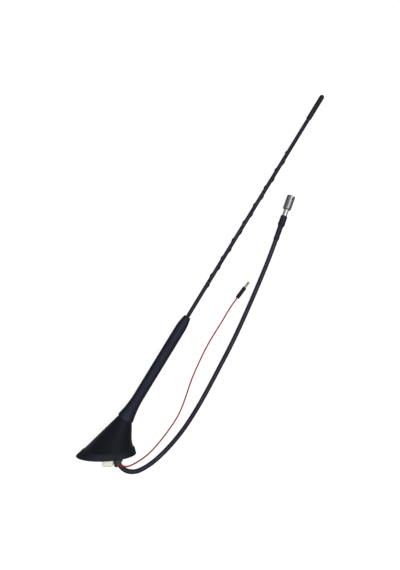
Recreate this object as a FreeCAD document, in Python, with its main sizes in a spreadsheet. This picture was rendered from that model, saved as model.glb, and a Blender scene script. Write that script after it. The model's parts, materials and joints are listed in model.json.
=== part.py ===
"""Roof antenna for a car: screwed-on rod mast, sealed amplifier base, coaxial lead and supply wire.

The base is drawn with the roof as its XY plane: +X points rearward, +Z away from the roof. The mast
has its own frame, which starts at the foot of the mast with +Z along the rod. Both are then laid on
a table as the loose antenna comes to rest: on the far side of the base and the tip of the rod.
"""
import FreeCAD, Part

import math
import os
import re

import Sketcher

VECTOR = FreeCAD.Vector
X_AXIS = VECTOR(1, 0, 0)
Y_AXIS = VECTOR(0, 1, 0)
Z_AXIS = VECTOR(0, 0, 1)

# Driving dimensions in millimetres and degrees
SIZES = (
    ("rim_length", 61.2, "gasket on the roof, front to rear"),
    ("rim_width", 46.5, "gasket on the roof, side to side"),
    ("edge_front", 24.5, "front of the gasket's upper edge"),
    ("edge_rear", 29.2, "rear of the gasket's upper edge"),
    ("edge_width", 43.3, "gasket's upper edge, side to side"),
    ("edge_height", 5.4, "height of that edge"),
    ("seat_height", 6.4, "plane on which the cover stands"),
    ("ledge_lip", 0.25, "gasket shown round the cover's foot"),
    ("bead_inset", 2.0, "rim to the sealing groove below"),
    ("bead_width", 1.8, "width of the sealing groove"),
    ("bead_depth", 1.0, "depth of the sealing groove"),
    ("cover_front", 22.4, "front of the cover on its seat"),
    ("cover_rear", 27.8, "rear of the cover on its seat"),
    ("cover_width", 41.0, "cover on its seat, side to side"),
    ("cover_wall", 2.0, "wall of the moulded cover"),
    ("low_rise", 0.22, "first station, share of the front edge"),
    ("low_rear_x", 26.3, "rear edge at the first station"),
    ("low_rear_z", 13.2, "its height"),
    ("low_width", 33.2, "cover at the first station"),
    ("mid_rise", 0.47, "second station, share of the front edge"),
    ("mid_rear_x", 26.2, "rear edge at the second station"),
    ("mid_rear_z", 19.0, "its height"),
    ("mid_width", 26.4, "cover at the second station"),
    ("high_rise", 0.74, "third station, share of the front edge"),
    ("high_rear_x", 26.45, "rear edge at the third station"),
    ("high_rear_z", 25.6, "its height"),
    ("high_width", 20.0, "cover at the third station"),
    ("top_dia", 15.0, "round top of the cover"),
    ("crown_depth", 11.0, "solid crown above the cavity"),
    ("crown_length", 20.0, "cavity below the crown, along"),
    ("crown_width", 18.4, "cavity below the crown, across"),
    ("crown_shift", 2.0, "cavity below the crown, rearward"),
    ("crown_tilt", 28.0, "slope of the cavity's roof"),
    ("mast_angle", 57.6, "mast above the roof plane"),
    ("foot_x", 20.3, "centre of the mast foot, rearward"),
    ("foot_z", 36.5, "centre of the mast foot, height"),
    ("foot_gap", 0.3, "shadow gap under the mast foot"),
    ("plate_length", 45.0, "cast base plate, front to rear"),
    ("plate_width", 34.0, "cast base plate, side to side"),
    ("plate_lift", 0.6, "plate above the roof plane"),
    ("plate_wall", 1.6, "wall of the plate's tray"),
    ("floor_thick", 2.4, "floor of the plate's tray"),
    ("flange_lip", 1.2, "flange that traps the gasket"),
    ("flange_thick", 1.4, "thickness of that flange"),
    ("seal_fit", 0.1, "gasket to plate, all round"),
    ("spigot_dia", 8.5, "threaded spigot"),
    ("spigot_length", 10.8, "spigot below the plate"),
    ("fixing_bore", 5.0, "core hole for the fixing bolt"),
    ("fixing_depth", 11.0, "depth of that hole"),
    ("front_screw_inset", 5.4, "front cover screw from the plate's end"),
    ("rear_screw_inset", 3.8, "rear cover screw from the plate's end"),
    ("boss_dia", 6.0, "screw bosses in plate and cover"),
    ("boss_height", 4.0, "bosses above the cover's seat"),
    ("boss_rib", 2.0, "rib from boss to cover wall"),
    ("screw_dia", 2.5, "cover screw shank"),
    ("screw_hole", 2.9, "clearance hole in the plate"),
    ("screw_bite_spare", 0.8, "boss beyond the end of its screw"),
    ("screw_head_dia", 4.6, "cover screw head"),
    ("screw_head", 1.5, "height of that head"),
    ("screw_sink", 1.6, "counterbore for the head"),
    ("sink_fit", 0.2, "counterbore to head, all round"),
    ("block_gap", 0.05, "nylon block to the grommet"),
    ("block_length", 11.2, "nylon block, front to rear"),
    ("block_width", 13.0, "nylon block, side to side"),
    ("block_depth", 11.0, "nylon block below the roof plane"),
    ("block_round", 1.6, "its upright corners"),
    ("block_lead", 2.2, "lead-in round its lower end"),
    ("barb_drop", 2.6, "snap barb below the roof plane"),
    ("barb_height", 3.4, "length of the barb"),
    ("barb_reach", 0.9, "barb beyond the block"),
    ("barb_width", 5.0, "barb along the block"),
    ("grommet_gap", 1.2, "grommet's collar to the rear screw column"),
    ("grommet_dia", 8.9, "cable grommet"),
    ("grommet_neck", 7.6, "neck in the plate's floor"),
    ("grommet_cap", 9.6, "collar inside the tray"),
    ("grommet_collar", 1.2, "thickness of that collar"),
    ("grommet_depth", 12.6, "grommet below the roof plane"),
    ("grommet_round", 1.4, "its rounded lower edge"),
    ("exit_shift", 1.0, "coaxial lead at the grommet's face, rearward of its axis"),
    ("exit_depth", 10.6, "its depth below the roof plane"),
    ("exit_angle", 43.0, "lead's fall below the roof plane"),
    ("coax_start", 9.6, "coaxial lead before its first bend"),
    ("wire_start", 5.0, "supply wire before its first bend"),
    ("wire_offset", 3.4, "supply wire beside the lead"),
    ("wire_turn", 62.0, "its place round the lead"),
    ("board_gap", 2.3, "circuit board to the screw bosses"),
    ("board_width", 20.0, "circuit board, side to side"),
    ("board_height", 4.8, "underside of the board"),
    ("board_thick", 1.6, "thickness of the board"),
    ("board_round", 2.0, "corners of the board"),
    ("standoff_dia", 4.6, "standoffs under the board"),
    ("standoff_inset", 2.5, "standoffs from the board's ends"),
    ("standoff_y", 7.2, "standoffs from the centre line"),
    ("board_screw_dia", 2.0, "board screw shank"),
    ("board_screw_head", 3.8, "board screw head"),
    ("board_screw_rise", 1.2, "height of that head"),
    ("board_screw_bite", 2.0, "board screw below the board"),
    ("can_x", 2.3, "shield can forward of the board's middle"),
    ("can_y", -1.2, "shield can to one side"),
    ("can_length", 13.0, "shield can"),
    ("can_width", 11.5, "shield can, side to side"),
    ("can_height", 5.0, "shield can"),
    ("can_wall", 0.4, "tinned sheet of the can"),
    ("vent_dia", 1.6, "holes in the can's lid"),
    ("vent_pitch", 3.2, "between those holes"),
    ("choke_x", 7.2, "ferrite choke rearward of the board's middle"),
    ("choke_y", 6.6, "ferrite choke to one side"),
    ("choke_dia", 5.0, "ferrite choke"),
    ("choke_bore", 2.0, "hole of the choke"),
    ("choke_height", 3.2, "height of the choke"),
    ("cap_x", 1.2, "electrolytic capacitor forward of the board's middle"),
    ("cap_y", 7.4, "capacitor to one side"),
    ("cap_dia", 4.0, "capacitor can"),
    ("cap_height", 5.4, "height of the capacitor"),
    ("cap_groove", 0.3, "rolled groove in the can"),
    ("socket_dia", 9.0, "brass insert for the mast"),
    ("socket_length", 14.0, "length of the insert"),
    ("socket_groove", 0.4, "grooves that key it in the cover"),
    ("stud_dia", 4.9, "mast stud over its thread"),
    ("stud_reach", 8.0, "stud below the mast foot"),
    ("stud_seat", 12.0, "stud inside the ferrule"),
    ("thread_fit", 0.05, "stud to insert, all round"),
    ("bore_spare", 1.6, "insert bore beyond the stud"),
    ("lug_dia", 2.4, "solder pin below the insert"),
    ("lug_length", 1.5, "length of that pin"),
    ("strip_width", 5.0, "feed strip"),
    ("strip_thick", 0.5, "feed strip"),
    ("strip_x", 7.0, "upright leg of the strip, rearward of the board's middle"),
    ("strip_foot", 2.6, "foot of the strip on the board"),
    ("seal_dia", 8.2, "rubber ring under the mast"),
    ("seal_bore", 5.4, "hole of that ring"),
    ("seal_recess", 1.0, "recess for the ring in the ferrule"),
    ("seal_play", 0.05, "ring to the faces above and below"),
    ("ferrule_foot", 10.6, "foot of the ferrule"),
    ("ferrule_foot_rise", 3.0, "height of that foot"),
    ("ferrule_dia", 7.0, "crimped ferrule"),
    ("ferrule_length", 40.0, "length of the ferrule"),
    ("ferrule_socket", 14.0, "rod inside the ferrule"),
    ("crimp_depth", 0.35, "depth of the crimp rings"),
    ("boot_foot", 17.6, "flared foot of the mast boot"),
    ("boot_dia", 11.3, "mast boot"),
    ("boot_length", 122.0, "mast boot"),
    ("boot_mouth", 7.0, "upper end of the boot"),
    ("flare_length", 26.0, "flare of the boot's foot"),
    ("ogive_length", 16.0, "rounded upper end of the boot"),
    ("mast_length", 400.0, "foot to tip"),
    ("core_dia", 2.2, "glass fibre core of the rod"),
    ("winding_dia", 2.8, "close copper winding on the core"),
    ("sleeve_dia", 4.2, "rod over its plastic sleeve"),
    ("ridge_pitch", 22.0, "one turn of the wind ridge"),
    ("ridge_turns", 8.0, "turns of the wind ridge"),
    ("ridge_start", 156.4, "start of the ridge above the foot"),
    ("ridge_round", 0.95, "radius of the ridge's section"),
    ("ridge_height", 0.65, "ridge above the sleeve"),
    ("ridge_phase", 75.0, "turn of the ridge at its start"),
    ("tip_dia", 5.3, "tip cap"),
    ("tip_length", 30.0, "tip cap"),
    ("tip_grip", 17.0, "sleeve inside the tip cap"),
    ("tip_core_grip", 22.0, "core inside the tip cap"),
    ("coax_dia", 4.8, "coaxial lead"),
    ("wire_dia", 1.5, "supply wire"),
    ("tail_dia", 5.6, "tail of the plug's boot"),
    ("tail_length", 17.0, "tail of the plug's boot"),
    ("sleeve_boot_dia", 7.2, "plug's boot"),
    ("sleeve_boot_length", 10.6, "plug's boot"),
    ("neck_dia", 5.2, "crimp ferrule of the plug"),
    ("neck_show", 7.1, "crimp ferrule that shows"),
    ("neck_grip", 4.3, "crimp ferrule inside the boot"),
    ("neck_bore", 3.4, "bore of the crimp ferrule"),
    ("shell_dia", 8.8, "plug shell"),
    ("shell_length", 15.5, "plug shell"),
    ("shell_bore", 7.4, "bore of the shell"),
    ("shell_back", 2.0, "rear wall of the shell"),
    ("shell_chamfer", 0.8, "rear edge of the shell"),
    ("slot_width", 1.1, "spring slots of the shell"),
    ("slot_length", 4.2, "length of those slots"),
    ("slot_count", 4.0, "number of those slots"),
    ("insulator_length", 6.5, "insulator in the shell"),
    ("contact_dia", 2.6, "centre contact"),
    ("contact_bore", 1.6, "bore of the centre contact"),
    ("contact_reach", 3.6, "contact beyond the insulator"),
    ("bullet_dia", 2.7, "bullet pin"),
    ("bullet_show", 7.5, "bullet pin that shows"),
    ("bullet_grip", 6.0, "bullet pin inside its sleeve"),
    ("bullet_barrel", 3.2, "crimp barrel of the pin inside its sleeve"),
    ("bullet_neck", 1.9, "waist behind the bullet's nose"),
    ("waist_place", 2.8, "middle of the waist from the bullet's end"),
    ("waist_length", 1.6, "length of the waist"),
    ("bullet_sleeve_dia", 4.5, "sleeve of the bullet pin"),
    ("bullet_sleeve_length", 14.2, "sleeve of the bullet pin"),
)

# Routes of the two leads from their first bend to the fitting: millimetres from the middle of the
# base, rearward, along the table towards the tip, and up from the table
COAX_ROUTE = (
    (28.8, -20.4, 20.0),
    (38.4, -18.1, 15.0),
    (48.6, -13.3, 8.8),
    (63.8, -0.9, 2.4),
    (80.8, 19.4, 2.4),
    (98.0, 46.0, 2.4),
    (115.3, 77.1, 2.4),
    (135.4, 114.1, 2.4),
    (154.8, 155.6, 2.4),
    (169.8, 189.7, 2.4),
    (177.1, 208.3, 4.4),
    (181.0, 218.7, 4.4),
)
WIRE_ROUTE = (
    (22.9, -12.9, 25.0),
    (30.6, -12.0, 19.2),
    (42.2, -7.2, 9.5),
    (51.7, 2.7, 2.6),
    (61.4, 14.1, 0.75),
    (73.8, 31.7, 0.75),
    (81.2, 49.6, 0.75),
    (87.4, 68.4, 0.75),
    (97.4, 90.3, 0.75),
    (107.7, 110.2, 0.75),
    (122.6, 132.8, 0.75),
    (131.7, 148.3, 2.25),
    (138.8, 157.5, 2.25),
)
ARC_SHARE = 0.45
CRIMP_SHARES = (0.25, 0.75)

doc = FreeCAD.newDocument("roof_antenna")
sheet = doc.addObject("Spreadsheet::Sheet", "Sizes")
for row, (alias, number, note) in enumerate(SIZES, start=1):
    sheet.set(f"A{row}", note)
    sheet.set(f"B{row}", str(number))
    sheet.setAlias(f"B{row}", alias)
doc.recompute()

ALIASES = re.compile(r"\b(" + "|".join(alias for alias, _, _ in SIZES) + r")\b")


def bound(formula):
    """A formula of size names, written as the sheet's own references."""
    return ALIASES.sub(r"Sizes.\1", formula)


def size(formula):
    """The present value of a size or of a formula of sizes."""
    found = sheet.evalExpression(bound(formula))
    return float(getattr(found, "Value", found))


def new_body(label):
    """An empty body whose label names its file."""
    body = doc.addObject("PartDesign::Body", label)
    body.Label = label
    return body


def origin_plane(body, role):
    """One of the body's own origin planes."""
    return next(item for item in body.Origin.OriginFeatures if item.Role == role)


def new_sketch(body, name, role="XY_Plane", shift=("0", "0", "0"), tilt=None):
    """A sketch on an origin plane, shifted and tilted about Y by formulas."""
    sketch = body.newObject("Sketcher::SketchObject", name)
    sketch.AttachmentSupport = (origin_plane(body, role), "")
    sketch.MapMode = "FlatFace"
    if tilt:
        sketch.AttachmentOffset = FreeCAD.Placement(VECTOR(), FreeCAD.Rotation(Y_AXIS, size(tilt)))
        sketch.setExpression("AttachmentOffset.Rotation.Angle", bound(tilt))
    for axis, formula in zip("xyz", shift):
        if formula != "0":
            sketch.setExpression("AttachmentOffset.Base." + axis, bound(formula))
    return sketch


def bind(sketch, name, formula, *constraint):
    """A constraint that takes its value from a formula."""
    index = sketch.addConstraint(Sketcher.Constraint(*constraint, size(formula)))
    sketch.renameConstraint(index, name)
    sketch.setExpression("Constraints." + name, bound(formula))


def pin_point(sketch, name, geometry, end, x, y):
    """Both coordinates of a point of a sketch."""
    for axis, formula in (("X", x), ("Y", y)):
        bind(sketch, name + axis.lower(), formula, "Distance" + axis, -1, 1, geometry, end)


def oval(sketch, length, width):
    """An ellipse round the sketch's origin."""
    first = sketch.GeometryCount
    ellipse = Part.Ellipse(VECTOR(), size(length) / 2, size(width) / 2)
    sketch.addGeometry(ellipse, False)
    sketch.exposeInternalGeometry(first)
    sketch.addConstraint(Sketcher.Constraint("Coincident", first, 3, -1, 1))
    sketch.addConstraint(Sketcher.Constraint("PointOnObject", first + 1, 1, -1))
    bind(sketch, f"length{first}", length, "Distance", first + 1)
    bind(sketch, f"width{first}", width, "Distance", first + 2)
    return sketch


def circle(sketch, diameter, x="0", y="0"):
    """A circle at a place in the sketch."""
    first = sketch.GeometryCount
    centre = VECTOR(size(x), size(y), 0)
    sketch.addGeometry(Part.Circle(centre, Z_AXIS, size(diameter) / 2), False)
    pin_point(sketch, f"centre{first}", first, 3, x, y)
    bind(sketch, f"diameter{first}", diameter, "Diameter", first)
    return sketch


def outline(sketch, corners):
    """A closed outline. A corner is (x, y), or (x, y, radius) where an arc leads to the next one:
    with a positive radius the arc's centre lies left of the way to that corner."""
    first = sketch.GeometryCount
    places = [VECTOR(size(corner[0]), size(corner[1]), 0) for corner in corners]
    ends = []
    for index, corner in enumerate(corners):
        start = places[index]
        stop = places[(index + 1) % len(places)]
        if len(corner) == 2:
            sketch.addGeometry(Part.LineSegment(start, stop), False)
            ends.append((1, 2))
            continue
        radius = abs(size(corner[2]))
        turns_left = size(corner[2]) > 0
        chord = stop - start
        normal = VECTOR(-chord.y, chord.x, 0).normalize() * (1 if turns_left else -1)
        centre = (start + stop) * 0.5 + normal * math.sqrt(radius ** 2 - (chord.Length / 2) ** 2)
        begin, finish = (start, stop) if turns_left else (stop, start)
        angles = [math.atan2(point.y - centre.y, point.x - centre.x) for point in (begin, finish)]
        if angles[1] < angles[0]:
            angles[1] += 2 * math.pi
        rim = Part.Circle(centre, Z_AXIS, radius)
        sketch.addGeometry(Part.ArcOfCircle(rim, angles[0], angles[1]), False)
        ends.append((1, 2) if turns_left else (2, 1))
        bind(sketch, f"radius{first + index}", f"abs({corner[2]})", "Radius", first + index)
    for index, corner in enumerate(corners):
        geometry = first + index
        before = first + (index - 1) % len(corners)
        joint = (before, ends[index - 1][1], geometry, ends[index][0])
        sketch.addConstraint(Sketcher.Constraint("Coincident", *joint))
        pin_point(sketch, f"corner{geometry}", geometry, ends[index][0], corner[0], corner[1])
    return sketch


def rectangle(sketch, length, width, x="0", y="0"):
    """A rectangle round a place in the sketch."""
    left, right = f"{x} - ({length}) / 2", f"{x} + ({length}) / 2"
    low, high = f"{y} - ({width}) / 2", f"{y} + ({width}) / 2"
    return outline(sketch, ((left, low), (right, low), (right, high), (left, high)))


def feature(body, kind, name, sketch, **settings):
    """A feature made from a sketch: text settings are formulas, the others are taken as they are."""
    made = body.newObject("PartDesign::" + kind, name)
    made.Profile = sketch
    for key, setting in settings.items():
        if isinstance(setting, str) and key not in ("Type", "SideType", "Mode"):
            made.setExpression(key, bound(setting))
        else:
            setattr(made, key, setting)
    sketch.Visibility = False
    return made


def turned(label, corners):
    """A piece turned about its Z axis from an outline of (radius, height) corners."""
    body = new_body(label)
    sketch = outline(new_sketch(body, "profile", "XZ_Plane"), corners)
    feature(body, "Revolution", "turning", sketch, ReferenceAxis=(sketch, ["V_Axis"]), Angle=360)
    return body


def dress(body, kind, name, base, edges, **settings):
    """A fillet or chamfer on the edges of a feature that a test picks."""
    doc.recompute()
    picked = [f"Edge{index}" for index, edge in enumerate(base.Shape.Edges, start=1) if edges(edge)]
    made = body.newObject("PartDesign::" + kind, name)
    made.Base = (base, picked)
    for key, formula in settings.items():
        made.setExpression(key, bound(formula))
    return made


def level(edge, height):
    """Whether an edge lies in the plane at a height."""
    box = edge.BoundBox
    return abs(box.ZMin - height) < 1e-4 and abs(box.ZMax - height) < 1e-4


COVER_LENGTH = "(cover_front + cover_rear)"
COVER_X = "((cover_rear - cover_front) / 2)"
MAST_TILT = "(90 - mast_angle)"
TOP_FRONT_X = "(foot_x - foot_gap * cos(mast_angle) - top_dia / 2 * sin(mast_angle))"
TOP_FRONT_Z = "(foot_z - foot_gap * sin(mast_angle) + top_dia / 2 * cos(mast_angle))"
BOARD_TOP = "(board_height + board_thick)"
FLOOR_TOP = "(plate_lift + floor_thick)"
FRONT_SCREW_X = f"({COVER_X} - plate_length / 2 + front_screw_inset)"
REAR_SCREW_X = f"({COVER_X} + plate_length / 2 - rear_screw_inset)"
BOARD_FRONT_X = f"({FRONT_SCREW_X} + boss_dia / 2 + board_gap)"
BOARD_REAR_X = f"({REAR_SCREW_X} - boss_dia / 2 - board_gap)"
BOARD_X = f"(({BOARD_FRONT_X} + {BOARD_REAR_X}) / 2)"
FRONT_STANDOFF_X = f"({BOARD_FRONT_X} + standoff_inset)"
REAR_STANDOFF_X = f"({BOARD_REAR_X} - standoff_inset)"
GROMMET_X = f"({REAR_SCREW_X} - boss_dia / 2 - grommet_gap - grommet_cap / 2)"
SPIGOT_X = f"({GROMMET_X} - grommet_dia / 2 - block_gap - block_length / 2)"
EXIT_X = f"({GROMMET_X} + exit_shift)"
STRIP_X = f"({BOARD_X} + strip_x)"
FRONT_SLOPE = f"(({TOP_FRONT_X} + cover_front) / ({TOP_FRONT_Z} - seat_height))"
RIB_FRONT_X = f"(cover_wall / 2 - cover_front + boss_height * {FRONT_SLOPE})"
RIB_REAR_X = "(cover_rear - cover_wall * 0.6)"


def along_mast(distance):
    """Place on the mast's axis, at a distance from its foot, as a sketch shift."""
    return f"foot_x + ({distance}) * cos(mast_angle)", "0", f"foot_z + ({distance}) * sin(mast_angle)"


def station(body, name, rise, rear_x, rear_z, width, inset="0"):
    """Oval section of the cover between a point of its front edge and one of its rear edge."""
    front_x = f"(-cover_front + ({rise}) * ({TOP_FRONT_X} + cover_front))"
    front_z = f"(seat_height + ({rise}) * ({TOP_FRONT_Z} - seat_height))"
    tilt = f"atan2({front_z} - {rear_z}; {rear_x} - {front_x})"
    middle = (f"({front_x} + {rear_x}) / 2", "0", f"({front_z} + {rear_z}) / 2")
    run = f"(({rear_x} - {front_x}) / cos({tilt}))"
    sketch = new_sketch(body, name, shift=middle, tilt=tilt)
    return oval(sketch, f"{run} - 2 * {inset}", f"{width} - 2 * {inset}")


def make_gasket():
    body = new_body("gasket")
    rim = oval(new_sketch(body, "rim"), "rim_length", "rim_width")
    edge_place = ("(edge_rear - edge_front) / 2", "0", "edge_height")
    edge = oval(new_sketch(body, "edge", shift=edge_place), "edge_front + edge_rear", "edge_width")
    top = (COVER_X, "0", "seat_height")
    ledge = new_sketch(body, "ledge", shift=top)
    oval(ledge, f"{COVER_LENGTH} + 2 * ledge_lip", "cover_width + 2 * ledge_lip")
    feature(body, "AdditiveLoft", "skirt", rim, Sections=[edge, ledge], Ruled=True)
    rebate = new_sketch(body, "rebate", shift=top)
    oval(rebate, "plate_length + 2 * (flange_lip + seal_fit)", "plate_width + 2 * (flange_lip + seal_fit)")
    feature(body, "Pocket", "flange_rebate", rebate, Length="flange_thick + seal_fit")
    opening = new_sketch(body, "opening", shift=top)
    oval(opening, "plate_length + 2 * seal_fit", "plate_width + 2 * seal_fit")
    feature(body, "Pocket", "plate_opening", opening, Length="seat_height + 1")
    bead = new_sketch(body, "bead")
    oval(bead, "rim_length - 2 * bead_inset", "rim_width - 2 * bead_inset")
    inner = "2 * (bead_inset + bead_width)"
    oval(bead, f"rim_length - {inner}", f"rim_width - {inner}")
    feature(body, "Pocket", "sealing_groove", bead, Length="bead_depth", Reversed=True)
    return body


def make_cover():
    body = new_body("cover")
    foot = station(body, "foot", "0", "cover_rear", "seat_height", "cover_width")
    low = station(body, "low", "low_rise", "low_rear_x", "low_rear_z", "low_width")
    middle = station(body, "middle", "mid_rise", "mid_rear_x", "mid_rear_z", "mid_width")
    high = station(body, "high", "high_rise", "high_rear_x", "high_rear_z", "high_width")
    top = new_sketch(body, "top", shift=along_mast("-foot_gap"), tilt=MAST_TILT)
    oval(top, "top_dia", "top_dia - 0.001")
    feature(body, "AdditiveLoft", "shell", foot, Sections=[low, middle, high, top])
    inner_foot = station(body, "inner_foot", "0", "cover_rear", "seat_height", "cover_width", "cover_wall")
    inner_low = station(body, "inner_low", "low_rise", "low_rear_x", "low_rear_z", "low_width", "cover_wall")
    inner_mid = station(body, "inner_mid", "mid_rise", "mid_rear_x", "mid_rear_z", "mid_width", "cover_wall")
    crown_x, crown_y, crown_z = along_mast("-crown_depth")
    crown_x += " + crown_shift * sin(mast_angle)"
    crown_z += " - crown_shift * cos(mast_angle)"
    crown = new_sketch(body, "crown", shift=(crown_x, crown_y, crown_z), tilt="crown_tilt")
    oval(crown, "crown_length", "crown_width")
    feature(body, "SubtractiveLoft", "cavity", inner_foot, Sections=[inner_low, inner_mid, crown])
    bosses = new_sketch(body, "bosses", shift=("0", "0", "seat_height"))
    circle(bosses, "boss_dia", FRONT_SCREW_X)
    circle(bosses, "boss_dia", REAR_SCREW_X)
    feature(body, "Pad", "screw_bosses", bosses, Length="boss_height")
    ribs = new_sketch(body, "ribs", shift=("0", "0", "seat_height"))
    for end, screw in ((RIB_FRONT_X, FRONT_SCREW_X), (RIB_REAR_X, REAR_SCREW_X)):
        rectangle(ribs, f"abs({end} - {screw})", "boss_rib", f"({end} + {screw}) / 2")
    feature(body, "Pad", "boss_ribs", ribs, Length="boss_height")
    pilots = new_sketch(body, "pilots", shift=("0", "0", "seat_height"))
    circle(pilots, "screw_dia", FRONT_SCREW_X)
    circle(pilots, "screw_dia", REAR_SCREW_X)
    feature(body, "Pocket", "pilot_holes", pilots, Length="boss_height - screw_bite_spare", Reversed=True)
    seat = new_sketch(body, "seat", shift=along_mast("-foot_gap"), tilt=MAST_TILT)
    circle(seat, "socket_dia")
    feature(body, "Pocket", "socket_seat", seat, Length="socket_length")
    return body


def make_base_plate():
    body = new_body("base_plate")
    tray = oval(new_sketch(body, "tray", shift=(COVER_X, "0", "plate_lift")), "plate_length", "plate_width")
    feature(body, "Pad", "tray_block", tray, Length="seat_height - plate_lift")
    flange = new_sketch(body, "flange", shift=(COVER_X, "0", "seat_height - flange_thick"))
    oval(flange, "plate_length + 2 * flange_lip", "plate_width + 2 * flange_lip")
    feature(body, "Pad", "gasket_flange", flange, Length="flange_thick")
    hollow = new_sketch(body, "hollow", shift=(COVER_X, "0", "seat_height"))
    oval(hollow, "plate_length - 2 * plate_wall", "plate_width - 2 * plate_wall")
    feature(body, "Pocket", "tray_hollow", hollow, Length=f"seat_height - {FLOOR_TOP}")
    columns = new_sketch(body, "columns", shift=("0", "0", FLOOR_TOP))
    circle(columns, "boss_dia", FRONT_SCREW_X)
    circle(columns, "boss_dia", REAR_SCREW_X)
    feature(body, "Pad", "screw_columns", columns, Length=f"seat_height - {FLOOR_TOP}")
    posts = new_sketch(body, "posts", shift=("0", "0", FLOOR_TOP))
    circle(posts, "standoff_dia", FRONT_STANDOFF_X, "standoff_y")
    circle(posts, "standoff_dia", REAR_STANDOFF_X, "-standoff_y")
    feature(body, "Pad", "board_standoffs", posts, Length=f"board_height - {FLOOR_TOP}")
    spigot = circle(new_sketch(body, "spigot", shift=("0", "0", "plate_lift")), "spigot_dia", SPIGOT_X)
    feature(body, "Pad", "fixing_spigot", spigot, Length="spigot_length", Reversed=True)
    core = new_sketch(body, "core", shift=("0", "0", "plate_lift - spigot_length"))
    circle(core, "fixing_bore", SPIGOT_X)
    feature(body, "Pocket", "fixing_core", core, Length="fixing_depth", Reversed=True)
    holes = new_sketch(body, "holes", shift=("0", "0", "seat_height"))
    circle(holes, "screw_hole", FRONT_SCREW_X)
    circle(holes, "screw_hole", REAR_SCREW_X)
    feature(body, "Pocket", "screw_holes", holes, Length="seat_height")
    sinks = new_sketch(body, "sinks", shift=("0", "0", "plate_lift"))
    circle(sinks, "screw_head_dia + 2 * sink_fit", FRONT_SCREW_X)
    circle(sinks, "screw_head_dia + 2 * sink_fit", REAR_SCREW_X)
    feature(body, "Pocket", "screw_sinks", sinks, Length="screw_sink", Reversed=True)
    taps = new_sketch(body, "taps", shift=("0", "0", "board_height"))
    circle(taps, "board_screw_dia", FRONT_STANDOFF_X, "standoff_y")
    circle(taps, "board_screw_dia", REAR_STANDOFF_X, "-standoff_y")
    feature(body, "Pocket", "board_taps", taps, Length="board_screw_bite + 0.3")
    way = circle(new_sketch(body, "way", shift=("0", "0", FLOOR_TOP)), "grommet_neck", GROMMET_X)
    feature(body, "Pocket", "cable_way", way, Length="floor_thick + 1")
    return body


def make_locating_block():
    body = new_body("locating_block")
    plan = new_sketch(body, "plan", shift=("0", "0", "plate_lift"))
    rectangle(plan, "block_length", "block_width", SPIGOT_X)
    block = feature(body, "Pad", "block", plan, Length="plate_lift + block_depth", Reversed=True)
    upright = dress(body, "Fillet", "corners", block,
                    lambda edge: edge.BoundBox.ZLength > size("block_depth") * 0.9, Radius="block_round")
    lead = dress(body, "Chamfer", "lead_in", upright,
                 lambda edge: level(edge, -size("block_depth")), Size="block_lead / 2")
    lead.Visibility = True
    barb = new_sketch(body, "barb", "YZ_Plane", shift=("0", "0", SPIGOT_X))
    outline(barb, (
        ("block_width / 2 - 1", "-barb_drop"),
        ("block_width / 2 + barb_reach", "-barb_drop"),
        ("block_width / 2 + 0.1", "-barb_drop - barb_height"),
        ("block_width / 2 - 1", "-barb_drop - barb_height"),
    ))
    tongue = feature(body, "Pad", "snap_barb", barb, Length="barb_width", Midplane=True)
    pair = body.newObject("PartDesign::Mirrored", "far_barb")
    pair.Originals = [tongue]
    pair.MirrorPlane = (origin_plane(body, "XZ_Plane"), [""])
    body.Tip = pair
    bore = circle(new_sketch(body, "bore", shift=("0", "0", "plate_lift")), "spigot_dia", SPIGOT_X)
    feature(body, "Pocket", "spigot_bore", bore, Length="plate_lift + block_depth + 1")
    return body


def make_cable_grommet():
    body = new_body("cable_grommet")
    profile = new_sketch(body, "profile", "XZ_Plane", shift=(GROMMET_X, "0", "0"))
    low = "-grommet_depth"
    outline(profile, (
        ("0", low),
        ("grommet_dia / 2 - grommet_round", low, "grommet_round"),
        ("grommet_dia / 2", "-grommet_depth + grommet_round"),
        ("grommet_dia / 2", "plate_lift"),
        ("grommet_neck / 2", "plate_lift"),
        ("grommet_neck / 2", FLOOR_TOP),
        ("grommet_cap / 2", FLOOR_TOP),
        ("grommet_cap / 2", f"{FLOOR_TOP} + grommet_collar"),
        ("0", f"{FLOOR_TOP} + grommet_collar"),
    ))
    feature(body, "Revolution", "barrel", profile, ReferenceAxis=(profile, ["V_Axis"]), Angle=360)
    reach = "1.2 * grommet_dia"
    face = new_sketch(body, "face", "XZ_Plane")
    outline(face, (
        (f"{EXIT_X} - {reach} * sin(exit_angle)", f"-exit_depth - {reach} * cos(exit_angle)"),
        (f"{EXIT_X} + {reach} * cos(exit_angle)", f"-exit_depth - {reach} * sin(exit_angle)"),
        (f"{EXIT_X} + {reach} * sin(exit_angle)", f"-exit_depth + {reach} * cos(exit_angle)"),
    ))
    feature(body, "Pocket", "lead_face", face, Length="2 * grommet_dia", Midplane=True)
    return body


def make_amplifier_board():
    body = new_body("amplifier_board")
    plan = new_sketch(body, "plan", shift=("0", "0", "board_height"))
    rectangle(plan, f"{BOARD_REAR_X} - {BOARD_FRONT_X}", "board_width", BOARD_X)
    board = feature(body, "Pad", "laminate", plan, Length="board_thick")
    corners = dress(body, "Fillet", "corners", board,
                    lambda edge: edge.BoundBox.ZLength > size("board_thick") * 0.9, Radius="board_round")
    corners.Visibility = True
    holes = new_sketch(body, "holes", shift=("0", "0", BOARD_TOP))
    circle(holes, "board_screw_dia + 0.2", FRONT_STANDOFF_X, "standoff_y")
    circle(holes, "board_screw_dia + 0.2", REAR_STANDOFF_X, "-standoff_y")
    feature(body, "Pocket", "screw_holes", holes, Length="board_thick + 1")
    return body


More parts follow.
